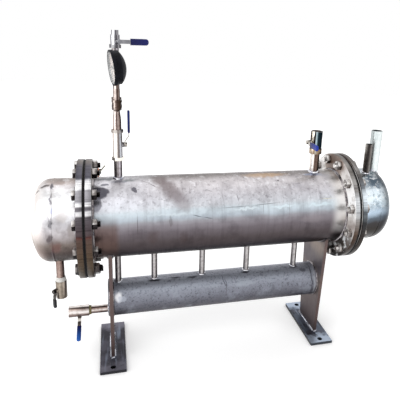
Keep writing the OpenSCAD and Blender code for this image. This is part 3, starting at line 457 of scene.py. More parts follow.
def right_bonnet_steel():
    """Right bonnet, polished stainless, with its mirroring of the sky painted: white flashes, blue in front,
    black below.
    """
    material, tree = begin("polished_stainless_right_bonnet")
    along = place_on(tree, "X")
    blunt = add(tree, "MapRange", {0: along, 1: RIGHT_SEAM, 2: CAD_BOX[1].x, 4: CROWN_BLUNT})
    tone = painted_round_shading(tree, SHELL_Z, RIGHT_BONNET_TONE, 6, blunt)
    # Broken reflections of the sky, from 60 to 10 mm wide
    high = (height_angle(tree, SHELL_Z, True, blunt), radians(4), radians(24))
    tone = patched(tree, tone, "#4d5b68", noise_patches(tree, 60 * MM, 3.0), 0.46, 0.64, 0.8, high)
    tone = patched(tree, tone, "#f2f7fa", noise_patches(tree, 40 * MM, 3.0), 0.54, 0.68, 0.5, high)
    tone = patched(tree, tone, "#566675", noise_patches(tree, 15 * MM, 5.0, 0.7), 0.52, 0.62, 0.55, high)
    tone = patched(tree, tone, "#ffffff", noise_patches(tree, 10 * MM, 5.0, 0.7), 0.55, 0.63, 0.6, high)
    # Painted reflection paler to the flange, and painted shade darker to the crown
    tone = patched(tree, tone, "#eef4f8", along, RIGHT_SEAM - 15 * MM, BONNET_BACK + 15 * MM, 0.6, high)
    tone = patched(tree, tone, "#2f3238", along, RIGHT_SEAM - 10 * MM, RIGHT_SEAM + 34 * MM, 0.75)
    close(tree, tone, (0.16, 0.3), noise_patches(tree, 6 * MM, 3.0), 0.1 * MM)
    return material


# Painted light, shade and reflection of the right bonnet by its height angle in degrees
RIGHT_BONNET_TONE = (
    (90, "#6f7578"), (80, "#c6ccd0"), (70, "#8a949b"), (58, "#66727d"), (46, "#7d8c99"), (38, "#d5e0e8"),
    (26, "#dbe7ee"), (16, "#c8d8e3"), (6, "#a8b9c9"), (-4, "#5b646e"), (-14, "#3f3d3e"), (-28, "#322e2b"),
    (-45, "#221f1d"), (-65, "#181514"),
)


def flange_steel(name, rim_tone, face_tone, grime_and_gap_shade, glint_share):
    """Turned stainless ring: a banded rim with painted flashes where it would mirror the sky, and frosted
    faces with painted light and shade.

    One width sets a black line of painted shadow and grime along the gasket, and one share sets painted
    white glints low on the faces."""
    material, tree = begin(name)
    rim = painted_round_shading(tree, SHELL_Z, rim_tone, 1.5)
    streaks = noise_patches(tree, 6 * MM, 4.0, 0.6, (20, 1, 1))
    rim = patched(tree, rim, "#7d797b", streaks, 0.45, 0.7, 0.6, blend="MULTIPLY")
    # Painted shadow and grime in a black line along the gasket, from a place on the shell's side of the
    # gasket to one on the bonnet's side
    off = add(tree, "Math", {0: place_on(tree, "X")}, operation="ABSOLUTE")
    inner, outer = GASKET_IN - grime_and_gap_shade, GASKET_OUT + grime_and_gap_shade
    beside = (off, outer + GRIME_AND_SHADE_FADE, outer - GRIME_AND_SHADE_FADE)
    rim = patched(tree, rim, "#0c0b0d", off, inner - GRIME_AND_SHADE_FADE, inner + GRIME_AND_SHADE_FADE, 0.95, beside)
    # Blotches 30 mm wide on the faces, and painted white glints 20 mm wide low down
    face = painted_round_shading(tree, SHELL_Z, face_tone, 7)
    face = patched(tree, face, "#85776f", noise_patches(tree, 30 * MM, 5.0, 0.65), 0.56, 0.62, 0.35)
    below = (height_angle(tree, SHELL_Z), radians(-10), radians(-24))
    face = patched(tree, face, "#f4f6f8", noise_patches(tree, 20 * MM, 4.0), 0.53, 0.6, glint_share, below)
    # Rim or face, by which way the surface faces
    side = add(tree, "Math", {0: facing(tree, "X")}, operation="ABSOLUTE")
    share = add(tree, "MapRange", {0: side, 1: FACE_FROM, 2: FACE_FULL})
    tone = add(tree, "Mix", {0: share, 6: rim, 7: face}, 2, data_type="RGBA")
    metal = add(tree, "MapRange", {0: side, 1: FACE_FROM, 2: FACE_FULL, 3: 1.0, 4: FACE_METAL})
    close(tree, tone, (0.26, 0.42), noise_patches(tree, 3 * MM, 3.0), 0.12 * MM, metal)
    return material


# A flange's face is where its surface faces along X by these shares; it is frosted, so hardly a mirror
FACE_FROM, FACE_FULL, FACE_METAL = 0.4, 0.8, 0.05
# Half the width over which the painted shadow and grime by the gasket fade out
GRIME_AND_SHADE_FADE = 0.6 * MM
# Painted white flashes on the left rims sit between grey bands, over a thin red line and brown
LEFT_RIM_TONE = (
    (90, "#6f645d"), (77, "#55525a"), (60, "#5b5a63"), (57.5, "#dcdbdf"), (54, "#f5f5f6"),
    (48.5, "#ececee"), (46.5, "#9a989d"), (40, "#8a888d"), (35.5, "#97959a"), (34.5, "#e2e1e3"),
    (32, "#dad9db"), (31, "#6f6c71"), (28.5, "#77747a"), (27.5, "#d3d2d4"), (24.5, "#cccacc"),
    (23, "#5f5a5f"), (14, "#544c50"), (6, "#4d4244"), (4.2, "#563733"), (2.4, "#50403b"), (-16, "#54463a"),
    (-40, "#4f4436"), (-62, "#3c352b"), (-85, "#2b2721"),
)
# Painted light, shade and reflection of the right rims and of the faces, by the height angle in degrees
RIGHT_RIM_TONE = (
    (90, "#57504c"), (78, "#6d6763"), (67, "#8d8986"), (57, "#77736f"), (44, "#a5a2a0"), (34, "#8b8785"),
    (25, "#d3d6d9"), (12, "#c3c6c9"), (2, "#85817f"), (-12, "#57483f"), (-25, "#3c2e26"), (-40, "#33251e"),
    (-60, "#1f1916"), (-85, "#141110"),
)
RIGHT_BONNET_RIM_TONE = (
    (90, "#5a534f"), (72, "#6a6561"), (60, "#94918f"), (50, "#5d5a59"), (38, "#7d8288"), (29, "#dfe8ee"),
    (20, "#cfd9e0"), (12, "#6d7479"), (0, "#343537"), (-20, "#37312d"), (-45, "#2f2721"), (-70, "#191513"),
)
LEFT_FACE_TONE = (
    (90, "#6f6a68"), (60, "#77736f"), (30, "#5f5b5c"), (0, "#4f494a"), (-30, "#423a39"), (-80, "#332d2b"),
)
RIGHT_FACE_TONE = (
    (90, "#6d5a50"), (78, "#7d6558"), (69, "#a3938a"), (62, "#efebe8"), (22, "#ffffff"), (4, "#f6f4f2"),
    (-6, "#a39893"), (-16, "#d5d1ce"), (-26, "#5f5856"), (-38, "#3f3a38"), (-55, "#2f2b2a"),
    (-80, "#211e1d"),
)

# Ways along which the light and shade of small steel are painted: to the light, to the left light, to the
# right end, and up the front
TO_LIGHT = (-0.45, -0.25, 0.85)
TO_LEFT_LIGHT = (-0.7, -0.3, 0.65)
TO_RIGHT = (1, 0, 0)
UP_FRONT = (0, -0.6, 0.8)


def small_steel(name, way, stops, rough=(0.26, 0.42), patch="#9a8c86", share=0.45, bands=()):
    """Mill finish stainless of pipes, valves and straps: painted bright and dark sides, dull patches, odd
    end rings.

    The way is one that the tone goes by, or the pipe that an upright piece stands on. A band is its lowest
    and highest place in mm, colour and strength."""
    material, tree = begin(name)
    tone = painted_upright_shading(tree, way, stops) if isinstance(way, str) else painted_facing_shading(tree, way, stops)
    for low, high, code, strength in bands:
        height = place_on(tree, "Z")
        below = (height, (high + 1) * MM, high * MM)
        tone = patched(tree, tone, code, height, low * MM, (low + 1) * MM, strength, below)
    tone = patched(tree, tone, patch, noise_patches(tree, 12 * MM), 0.42, 0.68, share, blend="MULTIPLY")
    close(tree, tone, rough, noise_patches(tree, 2 * MM, 3.0), 0.08 * MM)
    return material


def bolt_steel():
    """Stainless bolts with painted light and shade: nearly black with small painted flashes on the left
    flange, silver on the right one.
    """
    material, tree = begin("machined_stainless_bolt")
    left = painted_facing_shading(tree, TO_LIGHT, LEFT_BOLT_TONE)
    right = painted_facing_shading(tree, TO_LEFT_LIGHT, RIGHT_BOLT_TONE)
    side = add(tree, "MapRange", {0: place_on(tree, "X"), 1: LEFT_END, 2: RIGHT_END})
    tone = add(tree, "Mix", {0: side, 6: left, 7: right}, 2, data_type="RGBA")
    tone = patched(tree, tone, "#6d625d", noise_patches(tree, 14 * MM), 0.42, 0.62, 0.6, blend="MULTIPLY")
    close(tree, tone, (0.22, 0.36), noise_patches(tree, 2 * MM, 3.0), 0.08 * MM)
    return material


# Between these places what the left end shows turns to what the right one does
LEFT_END, RIGHT_END = -100 * MM, 100 * MM
# Painted light and shade of the bolts by how far they face the light, on the left and on the right
LEFT_BOLT_TONE = (
    (-1, "#121011"), (-0.2, "#1f1c1d"), (0.2, "#353132"), (0.5, "#57514f"), (0.75, "#a5a09e"),
    (0.9, "#dedbd9"), (1, "#a8a3a1"),
)
RIGHT_BOLT_TONE = (
    (-1, "#2a2524"), (-0.4, "#4a4442"), (0, "#6b6562"), (0.35, "#938d8a"), (0.65, "#d5d1ce"),
    (0.85, "#f1efed"), (1, "#b9b4b1"),
)


def header_steel():
    """Header pipe, dull stainless with a blue grey bloom and painted light and shade: soft, speckled, and
    stained near the risers.
    """
    material, tree = begin("blue_grey_mill_stainless")
    off = add(tree, "Math", {0: place_on(tree, "X")}, operation="ABSOLUTE")
    # Tones turn bluntly on the flat ends
    blunt = add(tree, "MapRange", {0: off, 1: HEADER_END - 8 * MM, 2: HEADER_END - 2 * MM, 4: HEADER_R})
    tone = painted_round_shading(tree, HEADER_Z, HEADER_TONE, 5, blunt)
    # Speckles 8 mm wide, and pale and dark clouds 40 and 30 mm wide
    tone = patched(tree, tone, "#50535c", noise_patches(tree, 8 * MM, 6.0, 0.75), 0.5, 0.66, 0.6, blend="MULTIPLY")
    tone = patched(tree, tone, "#a9afbb", noise_patches(tree, 40 * MM, 5.0), 0.5, 0.7, 0.3)
    tone = patched(tree, tone, "#4d4f58", noise_patches(tree, 30 * MM, 6.0, 0.7), 0.56, 0.66, 0.45)
    tone = marked(tree, tone, HEADER_Z, HEADER_R, 14 * MM, 0.4, HEADER_STAINS_AND_PAINTED_LIGHT)
    close(tree, tone, (0.38, 0.55), noise_patches(tree, 4 * MM, 4.0), 0.2 * MM, 0.6)
    return material


# Painted light, shade and reflection of the header by its height angle in degrees
HEADER_TONE = (
    (90, "#8b8c96"), (75, "#a3a7b3"), (60, "#a9aebb"), (45, "#a2a7b3"), (32, "#979ba7"), (20, "#8a8d98"),
    (8, "#7b7d88"), (-5, "#6d6e78"), (-20, "#5e5e67"), (-32, "#504f58"), (-60, "#3a3840"),
)
# Stains on the header, mostly dark; a painted white highlight at the left end, pale painted sheen at mid
# height, and a painted shadow ring beside the right leg with a pale ring: x, angle, length, width, tilt,
# colour, strength
HEADER_STAINS_AND_PAINTED_LIGHT = (
    (-238, 74, 60, 18, 0, "#23232a", 0.9),
    (-160, 78, 44, 12, 0, "#26262d", 0.85),
    (-100, 74, 50, 14, 0, "#28282f", 0.8),
    (-364, 28, 36, 44, 0, "#f6f7fb", 1.0),
    (-352, 22, 40, 26, 0, "#b9bfcc", 0.6),
    (12, 50, 5, 60, 12, "#44454d", 0.7),
    (19, 30, 5, 80, 0, "#4a4a52", 0.6),
    (90, 32, 120, 26, 0, "#a9afba", 0.5),
    (-40, 34, 90, 20, 0, "#a9afba", 0.45),
    (372, 20, 10, 180, 0, "#c3c7cf", 0.6),
    (360, 20, 7, 190, 0, "#303037", 0.75),
    (102, 74, 44, 14, 0, "#25252d", 0.85),
    (300, 78, 50, 14, 0, "#2b2b33", 0.8),
    (330, 60, 40, 20, 0, "#3c3c45", 0.6),
)


def leg_steel():
    """Leg plate, hot rolled and ground: warm grey and cloudy, browner to the foot and on its sawn edges,
    with the header's shadow painted on it.
    """
    material, tree = begin("hot_rolled_plate")
    tone = patched(tree, linear("#766a69"), "#94877f", noise_patches(tree, 70 * MM, 5.0), 0.38, 0.68)
    height = place_on(tree, "Z")
    tone = patched(tree, tone, "#4f4446", height, *LEG_FOOT_Z, 0.75)
    tone = patched(tree, tone, "#4a4a57", height, *LEG_SHADE_TOP_Z, 0.55, (height, *LEG_SHADE_FOOT_Z))
    streaks = noise_patches(tree, 8 * MM, 4.0, 0.6, (1, 1, 8))
    tone = patched(tree, tone, "#9d8f8a", streaks, 0.45, 0.7, 0.25, blend="MULTIPLY")
    edge = add(tree, "Math", {0: facing(tree, "Y")}, operation="ABSOLUTE")
    tone = patched(tree, tone, "#5f4e4b", edge, 0.5, 0.9, 0.8)
    close(tree, tone, (0.4, 0.55), noise_patches(tree, 3 * MM, 4.0), 0.15 * MM, 0.8)
    return material


# Heights from which a leg darkens to its foot, and over which the header's shadow is painted on it
LEG_FOOT_Z = (300 * MM, 80 * MM)
LEG_SHADE_TOP_Z = (370 * MM, 320 * MM)
LEG_SHADE_FOOT_Z = (240 * MM, 290 * MM)


def foot_steel():
    """Foot plate, mill scale: slate, with the leg's shade and reflection painted by it, painted shade on its
    sides, and painted lilac or blue white reflections at its ends.
    """
    material, tree = begin("mill_scale_painted_reflections")
    right = (place_on(tree, "X"), LEFT_END, RIGHT_END)
    pull = {0: noise_patches(tree, 20 * MM), 1: NOISE_LOW, 2: NOISE_HIGH, 3: -FOOT_RAGGED, 4: FOOT_RAGGED}
    off = add(tree, "Math", {0: place_on(tree, "Y")}, operation="ABSOLUTE")
    off = add(tree, "Math", {0: off, 1: add(tree, "MapRange", pull)}, operation="ADD")
    tone = patched(tree, linear("#2f2e35"), "#4d4b56", noise_patches(tree, 45 * MM, 4.0), 0.38, 0.65, 0.85)
    # Pale streaks 12 mm wide along the foot, slate patches on the right foot, and painted lilac or blue
    # white reflections at its ends
    tone = patched(tree, tone, "#8a93a5", noise_patches(tree, 12 * MM, 2.0, 0.5, (1, 9, 1)), 0.5, 0.75, 0.6)
    tone = patched(tree, tone, "#5b6575", noise_patches(tree, 30 * MM), 0.3, 0.6, 0.6, right)
    tone = patched(tree, tone, "#7b7985", off, *FOOT_REFLECTION_Y, 0.7)
    tone = patched(tree, tone, "#b3c0d2", off, *RIGHT_FOOT_REFLECTION_Y, 0.85, right)
    # Painted shade on the plate's sides
    tone = patched(tree, tone, "#232328", facing(tree, "Z"), 0.8, 0.4, 0.9)
    close(tree, tone, (0.32, 0.5), noise_patches(tree, 4 * MM, 4.0), 0.2 * MM, 0.8)
    return material


# Places from the middle of a foot at which its painted reflections at the ends begin and are full
FOOT_RAGGED = 15 * MM
FOOT_REFLECTION_Y = (85 * MM, 125 * MM)
RIGHT_FOOT_REFLECTION_Y = (80 * MM, 110 * MM)


def weld_steel(name, stops):
    """Weld metal, brushed stainless with painted silver highlights on its ripples and a faint heat tint in
    patches.
    """
    material, tree = begin(name)
    tone = painted_facing_shading(tree, TO_LIGHT, stops)
    tone = patched(tree, tone, "#6d6f86", noise_patches(tree, 9 * MM, 3.0), 0.45, 0.62, 0.7, blend="MULTIPLY")
    # Brighter on the feet
    tone = patched(tree, tone, "#b3b8c4", place_on(tree, "Z"), *FOOT_WELD_Z, 0.5)
    close(tree, tone, (0.2, 0.34), noise_patches(tree, 2 * MM, 2.0), 0.1 * MM)
    return material


# Heights over which a weld brightens to the foot
FOOT_WELD_Z = (60 * MM, 30 * MM)
# Painted light and shade of weld metal by how far it faces the light
WELD_BRIGHT = (
    (-1, "#2b2526"), (-0.4, "#4d4649"), (0, "#8a878c"), (0.3, "#c9cbd3"), (0.6, "#f2f2f5"), (1, "#d5d5db"),
)
WELD_DULL = (
    (-1, "#2b2425"), (-0.4, "#453c3d"), (0, "#625b5a"), (0.3, "#827c7d"), (0.6, "#a09b9c"), (1, "#8c8687"),
)


def skin(kind):
    """A plain colour, darker in soft patches, with a fine skin."""
    name, dark, rough, size, share, depth, shine, metal = SKINS[kind]
    material, tree = begin(name)
    base = (*getattr(exchanger_colours(), kind), 1.0)
    tone = patched(tree, base, dark, noise_patches(tree, size * MM), 0.35, 0.7, share)
    close(tree, tone, rough, noise_patches(tree, 1.5 * MM, 3.0), depth * MM, metal, shine)
    return material


# Finish, colour of its patches, roughness, width of the patches in mm, their strength, depth of the grain
# in mm, shine and metal, for each colour that a user may change
SKINS = {
    # Sheet rubber, cut: flat black
    "gasket": ("black_sheet_rubber", "#050505", (0.6, 0.8), 8, 0.5, 0.2, 0.15, 0.0),
    # Stoved enamel: black with hardly a shine
    "enamel": ("black_gauge_enamel", "#030304", (0.45, 0.6), 20, 0.6, 0.05, 0.08, 0.0),
    # Enamelled sheet: a faded cream face
    "dial": ("cream_enamel_dial", "#b79e95", (0.4, 0.5), 30, 0.5, 0.02, 0.5, 0.0),
    # Printing ink: dark, with a slight shine
    "dial_print": ("black_dial_print", "#3a3a40", (0.4, 0.5), 10, 0.4, 0.02, 0.5, 0.0),
    # Cast brass, tarnished: a deep orange
    "brass": ("tarnished_brass", "#8a4310", (0.25, 0.4), 6, 0.6, 0.1, 0.5, 0.8),
    # Plated strip: pale and a little yellow
    "plate": ("pale_plated_lever", "#a8a58f", (0.3, 0.45), 6, 0.4, 0.05, 0.5, 0.0),
    # Wound plastic tape: a dull white
    "tape": ("white_thread_tape", "#c9c6bf", (0.5, 0.7), 5, 0.6, 0.3, 0.5, 0.0),
    # Dried paste: a dull tan
    "sealant": ("tan_thread_sealant", "#5f5638", (0.5, 0.7), 4, 0.7, 0.4, 0.5, 0.0),
}


def dipped_vinyl(name, base, tip, pivot, aim, start, end):
    """Dipped vinyl, satin: darker by the strap in painted shade and paler to its thick tip in a painted
    sheen, with faint scuffs.
    """
    material, tree = begin(name)
    place = add(tree, "TexCoord", out="Object")
    off = add(tree, "VectorMath", {0: place, 1: tuple(pivot)}, operation="SUBTRACT")
    run = add(tree, "VectorMath", {0: off, 1: tuple(aim)}, "Value", operation="DOT_PRODUCT")
    tone = patched(tree, (*base, 1.0), tip, run, start, end, 0.9)
    tone = patched(tree, tone, "#4c5c9c", noise_patches(tree, 6 * MM, 5.0, 0.7), 0.55, 0.75, 0.2)
    close(tree, tone, (0.38, 0.46), noise_patches(tree, 1.2 * MM, 2.0), 0.06 * MM, 0.0, 0.25)
    return material


def clear_glass():
    """Flat gauge glass, clear, with a few smears that dull its shine.

    Its index is low, because at a flat angle that of real glass hides the face behind a white shine."""
    material, tree = begin("clear_flat_glass")
    smear = add(tree, "MapRange", {0: noise_patches(tree, 14 * MM), 1: 0.4, 2: 0.7, 3: 0.0, 4: 0.12})
    surface = {"Base Color": linear("#f4f8f8"), "Roughness": smear, "IOR": 1.12, "Transmission Weight": 1.0}
    add(tree, "OutputMaterial", {"Surface": add(tree, "BsdfPrincipled", surface)})
    return material


# Shapes

def finish_piece(name, bm, material, body=FIXED, crease=40):
    """Makes a piece from a bmesh, in place in the frame, and lets it ride on a body."""
    bmesh.ops.remove_doubles(bm, verts=bm.verts, dist=0.001 * MM)
    bmesh.ops.recalc_face_normals(bm, faces=bm.faces)
    mesh = bpy.data.meshes.new(name)
    bm.to_mesh(mesh)
    bm.free()
    mesh.shade_smooth()
    mesh.set_sharp_from_angle(angle=radians(crease))
    mesh.materials.append(material)
    piece = bpy.data.objects.new(name, mesh)
    bpy.context.scene.collection.objects.link(piece)
    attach(piece, body)
    return piece


def dress(material, *nodes):
    """Gives CAD nodes a finish."""
    for node in nodes:
        for slot in NODES[node].material_slots:
            slot.material = material


def soften(width, *nodes):
    """Rounds the sharp edges of CAD nodes."""
    for node in nodes:
        join = NODES[node].modifiers.new("Joined corners", "WELD")
        join.merge_threshold = 0.01 * MM
        edge = NODES[node].modifiers.new("Rounded edges", "BEVEL")
        edge.width = width
        edge.segments = 2
        edge.limit_method = "ANGLE"
        edge.angle_limit = radians(40)
        edge.harden_normals = True


def surface_of(node):
    """Search tree of a CAD node's surface."""
    mesh = NODES[node].data
    return BVHTree.FromPolygons([v.co for v in mesh.vertices], [tuple(p.vertices) for p in mesh.polygons])


def seat_on(way, *nodes):
    """Height at which a line along way, up or down, first meets one of the CAD nodes at a place."""
    trees = [surface_of(node) for node in nodes]
    far = CAD_BOX[0].z - 1 if way.z > 0 else CAD_BOX[1].z + 1

    def height(x, y):
        hits = [tree.ray_cast(Vector((x, y, far)), way)[0] for tree in trees]
        heights = [hit.z for hit in hits if hit is not None]
        if not heights:
            raise RuntimeError(f"no seat at {x:.3f}, {y:.3f}")
        return min(heights, key=lambda z: abs(z - far))

    return height


def turned(bm, centre, axis, outline, steps=48):
    """Turns an outline of places along an axis and out from it all the way round."""
    out = axis.orthogonal().normalized()
    verts = [bm.verts.new(centre + axis * along + out * radius) for along, radius in outline]
    edges = [bm.edges.new(pair) for pair in zip(verts, verts[1:])]
    bmesh.ops.spin(bm, geom=verts + edges, cent=centre, axis=axis, angle=2 * pi, steps=steps, use_merge=True)


def lay_bead(bm, place, bead, **path):
    """Draws a round bead along a path and gives its vertices."""
    known = set(bm.verts)
    made = bmesh.ops.create_circle(bm, segments=BEAD_SIDES, radius=bead, matrix=place)["verts"]
    rim = list({edge for vert in made for edge in vert.link_edges})
    bmesh.ops.spin(bm, geom=made + rim, **path)
    return [vert for vert in bm.verts if vert not in known]


def swell(vert, core, ripple, uneven):
    """Swells a bead about its core by its ripples, and more slowly by its unevenness."""
    vert.co = core + (vert.co - core) * (1 + RIPPLE_DEPTH * sin(ripple) + uneven)


def close_ends(bm, verts):
    """Fills the open ends of a bead."""
    ends = {edge for vert in verts for edge in vert.link_edges if edge.is_boundary}
    bmesh.ops.holes_fill(bm, edges=list(ends))


def weld_arc(bm, sizes, centre, axis, radius, bead, about=None, spread=2 * pi, seat=None):
    """Lays a rippled bead all round an axis, or spread about a way from it, bent to lie on a seat."""
    whole = about is None
    out = axis.orthogonal().normalized() if whole else Matrix.Rotation(-spread / 2, 3, axis) @ about
    side = axis.cross(out)
    steps = max(LEAST_STEPS, ceil(radius * spread / sizes.ripple * 2))
    ripples = round(radius * 2 * pi / sizes.ripple)
    place = Matrix((out, axis, -side)).transposed().to_4x4()
    place.translation = centre + out * radius
    verts = lay_bead(bm, place, bead, cent=centre, axis=axis, angle=spread, steps=steps, use_merge=whole)
    for vert in verts:
        arm = vert.co - centre
        turn = atan2(arm.dot(side), arm.dot(out))
        core = centre + (out * cos(turn) + side * sin(turn)) * radius
        swell(vert, core, turn * ripples, ARC_UNEVEN * sin(turn * ARC_LOBES + 1))
        if seat is not None:
            vert.co.z += seat(core.x, core.y) - centre.z
    if not whole:
        close_ends(bm, verts)


def weld_run(bm, sizes, start, end, bead):
    """Lays a straight rippled bead between two points."""
    run = end - start
    aim = run.normalized()
    out = aim.orthogonal().normalized()
    place = Matrix((out, aim.cross(out), aim)).transposed().to_4x4()
    place.translation = start
    steps = ceil(run.length / sizes.ripple * 2)
    verts = lay_bead(bm, place, bead, cent=start, axis=aim, dvec=run / steps, angle=0, steps=steps)
    for vert in verts:
        gone = (vert.co - start).dot(aim)
        uneven = RUN_UNEVEN * sin(gone / RUN_LOBE)
        swell(vert, start + aim * gone, gone / sizes.ripple * 2 * pi, uneven)
    close_ends(bm, verts)


BEAD_SIDES = 8
LEAST_STEPS = 12
# Ripples and unevenness are shares of a bead's radius
RIPPLE_DEPTH = 0.13
ARC_UNEVEN, ARC_LOBES = 0.06, 7
RUN_UNEVEN, RUN_LOBE = 0.08, 60 * MM


def hexagon(bm, low_x, high_x, flats, chamfer, turn):
    """Hexagon along X with chamfered ends."""
    place = Matrix.Translation(ALONG * (low_x + high_x) / 2) @ Matrix.Rotation(turn, 4, "X")
    place = place @ Matrix.Rotation(pi / 2, 4, "Y")
    radius = flats / sqrt(3)
    made = bmesh.ops.create_cone(bm, cap_ends=True, segments=6, radius1=radius, radius2=radius,
                                 depth=high_x - low_x, matrix=place)["verts"]
    edges = {edge for vert in made for edge in vert.link_edges}
    ends = [edge for edge in edges if abs((edge.verts[0].co - edge.verts[1].co).x) < MM]
    bmesh.ops.bevel(bm, geom=ends, offset=chamfer, segments=2, profile=0.5, affect="EDGES", material=-1)


def extents(node, origin, ways):
    """Lowest and highest place of a CAD node along each way from an origin."""
    found = []
    for way in ways:
        steps = [(vert.co - origin).dot(way) for vert in NODES[node].data.vertices]
        found.append((min(steps), max(steps)))
    return found


def handle_ways(body, grip):
    """Pivot of a valve handle, and the ways along its lever, across it and along its stem."""
    pivot = Vector(HANDLES[body]["pos_m"])
    stem = Vector(HANDLES[body]["axis"]).normalized()
    arm = middle(grip) - pivot
    aim = (arm - stem * arm.dot(stem)).normalized()
    return pivot, (aim, stem.cross(aim), stem)


def exchanger_sizes():
    """The sizes in the scene."""
    return bpy.context.scene.exchanger_sizes


def exchanger_colours():
    """The colours in the scene."""
    return bpy.context.scene.exchanger_colours


# Operators

class EXCHANGER_OT_stage(bpy.types.Operator):
    """Lay a pale floor, set soft studio lamps and stand the camera where the photograph was taken"""

    bl_idname = "exchanger.stage"
    bl_label = "Stage"

    def execute(self, context):
        self.lay_floor()
        self.light()
        self.stand_camera(context)
        return {"FINISHED"}

    def lay_floor(self):
        bm = bmesh.new()
        bmesh.ops.create_circle(bm, cap_ends=True, segments=96, radius=FLOOR_R,
                                matrix=Matrix.Translation(UP * FLOOR_Z))
        mesh = bpy.data.meshes.new("floor")
        bm.to_mesh(mesh)
        bm.free()
        floor = bpy.data.objects.new("floor", mesh)
        bpy.context.scene.collection.objects.link(floor)
        material, tree = begin("pale_studio_floor")
        base = (*exchanger_colours().floor, 1.0)
        # Painted shade from ambient occlusion: dark in the anchor holes
        open_share = add(tree, "AmbientOcclusion", {"Distance": FLOOR_SHADE}, "AO")
        lit = add(tree, "MapRange", {0: open_share, 1: HOLE_SHADE, 2: OPEN_SHADE})
        tone = add(tree, "Mix", {0: lit, 6: (0, 0, 0, 1), 7: base}, 2, data_type="RGBA")
        matte = add(tree, "BsdfDiffuse", {"Color": tone})
        # White where the camera or a shiny surface sees it, apart from the shade close under the object
        off = add(tree, "VectorMath", {0: add(tree, "TexCoord", out="Object")}, "Value", operation="LENGTH")
        fade = {0: off, 1: FLOOR_NEAR, 2: FLOOR_FAR, 3: FLOOR_GLOW, 4: FLOOR_FAR_GLOW}
        level = add(tree, "MapRange", fade)
        for share in (lit, open_share, seen_share(tree, 0.0, 1.0)):
            level = add(tree, "Math", {0: level, 1: share}, operation="MULTIPLY")
        glow = add(tree, "Emission", {"Color": base, "Strength": level})
        add(tree, "OutputMaterial", {"Surface": add(tree, "AddShader", {0: matte, 1: glow})})
        mesh.materials.append(material)

    def light(self):
        world = bpy.data.worlds.new("white_studio")
        bpy.context.scene.world = world
        world.use_nodes = True
        tree = world.node_tree
        tree.nodes.clear()
        level = seen_share(tree, WORLD_LIGHT, 1.0)
        white = add(tree, "Background", {"Color": (1, 1, 1, 1), "Strength": level})
        add(tree, "OutputWorld", {"Surface": white})
        for name, place, power, size in LAMPS:
            lamp = bpy.data.lights.new(name, "AREA")
            lamp.energy = power
            lamp.shape = "DISK"
            lamp.size = size
            holder = bpy.data.objects.new(name, lamp)
            holder.location = place
            holder.rotation_euler = (LAMP_TARGET - Vector(place)).to_track_quat("-Z", "Y").to_euler()
            bpy.context.scene.collection.objects.link(holder)

    def stand_camera(self, context):
        camera = bpy.data.cameras.new("camera")
        camera.sensor_width = SENSOR
        camera.lens = LENS
        camera.shift_x, camera.shift_y = SHIFT
        holder = bpy.data.objects.new("camera", camera)
        turn = Matrix.Rotation(-CAMERA_YAW, 4, "Z") @ Matrix.Rotation(pi / 2 - CAMERA_PITCH, 4, "X")
        holder.matrix_world = Matrix.Translation(CAMERA_PLACE) @ turn @ Matrix.Rotation(CAMERA_ROLL, 4, "Z")
        context.scene.collection.objects.link(holder)
        context.scene.camera = holder
        context.scene.view_settings.view_transform = "Standard"


FLOOR_R = 9.0
FLOOR_Z = -0.5 * MM
# The floor's glow near the object and far from it
FLOOR_NEAR, FLOOR_FAR = 0.7, 2.2
FLOOR_GLOW, FLOOR_FAR_GLOW = 0.4, 0.75
# How far the shade under the object reaches, and the open shares at which the floor is black and fully lit
FLOOR_SHADE = 0.15
HOLE_SHADE, OPEN_SHADE = 0.42, 0.62
WORLD_LIGHT = 0.68
LAMP_TARGET = Vector((0, 0, 0.45))
# Name, place, watts and size of the soft lamps
LAMPS = (
    ("key_lamp", (-1.8, -2.2, 3.2), 30, 4.0),
    ("top_lamp", (0.3, 1.5, 3.2), 16, 3.6),
    ("fill_lamp", (2.8, -1.8, 2.0), 6, 3.0),
    ("left_lamp", (-3.2, -0.9, 1.5), 34, 2.6),
)
# The camera was solved from the outline of the shell, flanges, legs and header
SENSOR = 36.0
LENS = 41.784
SHIFT = (-0.1019, -0.0910)
CAMERA_PLACE = Vector((-0.3697, -1.5298, 1.1372))
CAMERA_YAW = radians(15.964)
CAMERA_PITCH = radians(15.570)
CAMERA_ROLL = radians(2.803)


def seen_share(tree, unseen, seen):
    """One strength for light on things and another where the camera, metal or glass sees it."""
    rays = [add(tree, "LightPath", out=f"Is {kind} Ray") for kind in ("Camera", "Glossy", "Transmission")]
    either = add(tree, "Math", {0: rays[0], 1: rays[1]}, operation="MAXIMUM")
    either = add(tree, "Math", {0: either, 1: rays[2]}, operation="MAXIMUM")
    return add(tree, "MapRange", {0: either, 3: unseen, 4: seen})


class EXCHANGER_OT_vessel(bpy.types.Operator):
    """Finish the shell, the bonnets, the flanges and the gaskets"""

    bl_idname = "exchanger.vessel"
    bl_label = "Vessel"

    def execute(self, context):
        dress(rolled_shell_steel(), "shell")
        dress(left_bonnet_steel(), "left_bonnet_barrel", "left_dished_head")
        dress(right_bonnet_steel(), "right_bonnet_barrel", "right_dished_head")
        for name, rim, face, grime_and_gap_shade, glint_share, nodes in FLANGES:
            dress(flange_steel(name, rim, face, grime_and_gap_shade * MM, glint_share), *nodes)
            soften(exchanger_sizes().edge_round, *nodes)
        dress(skin("gasket"), "flange_gaskets")
        return {"FINISHED"}


# Finish, painted tones of the rim and the faces, width of the painted shadow and grime by the gasket in mm,
# share of painted white glints, and nodes
FLANGES = (
    ("turned_stainless_left_flange", LEFT_RIM_TONE, LEFT_FACE_TONE, 1.6, 0.0,
     ("left_shell_flange", "left_bonnet_flange")),
    ("turned_stainless_right_flange", RIGHT_RIM_TONE, RIGHT_FACE_TONE, 3.4, 0.9, ("right_shell_flange",)),
    ("turned_stainless_right_bonnet_flange", RIGHT_BONNET_RIM_TONE, RIGHT_FACE_TONE, 3.4, 0.0,
     ("right_bonnet_flange",)),
)


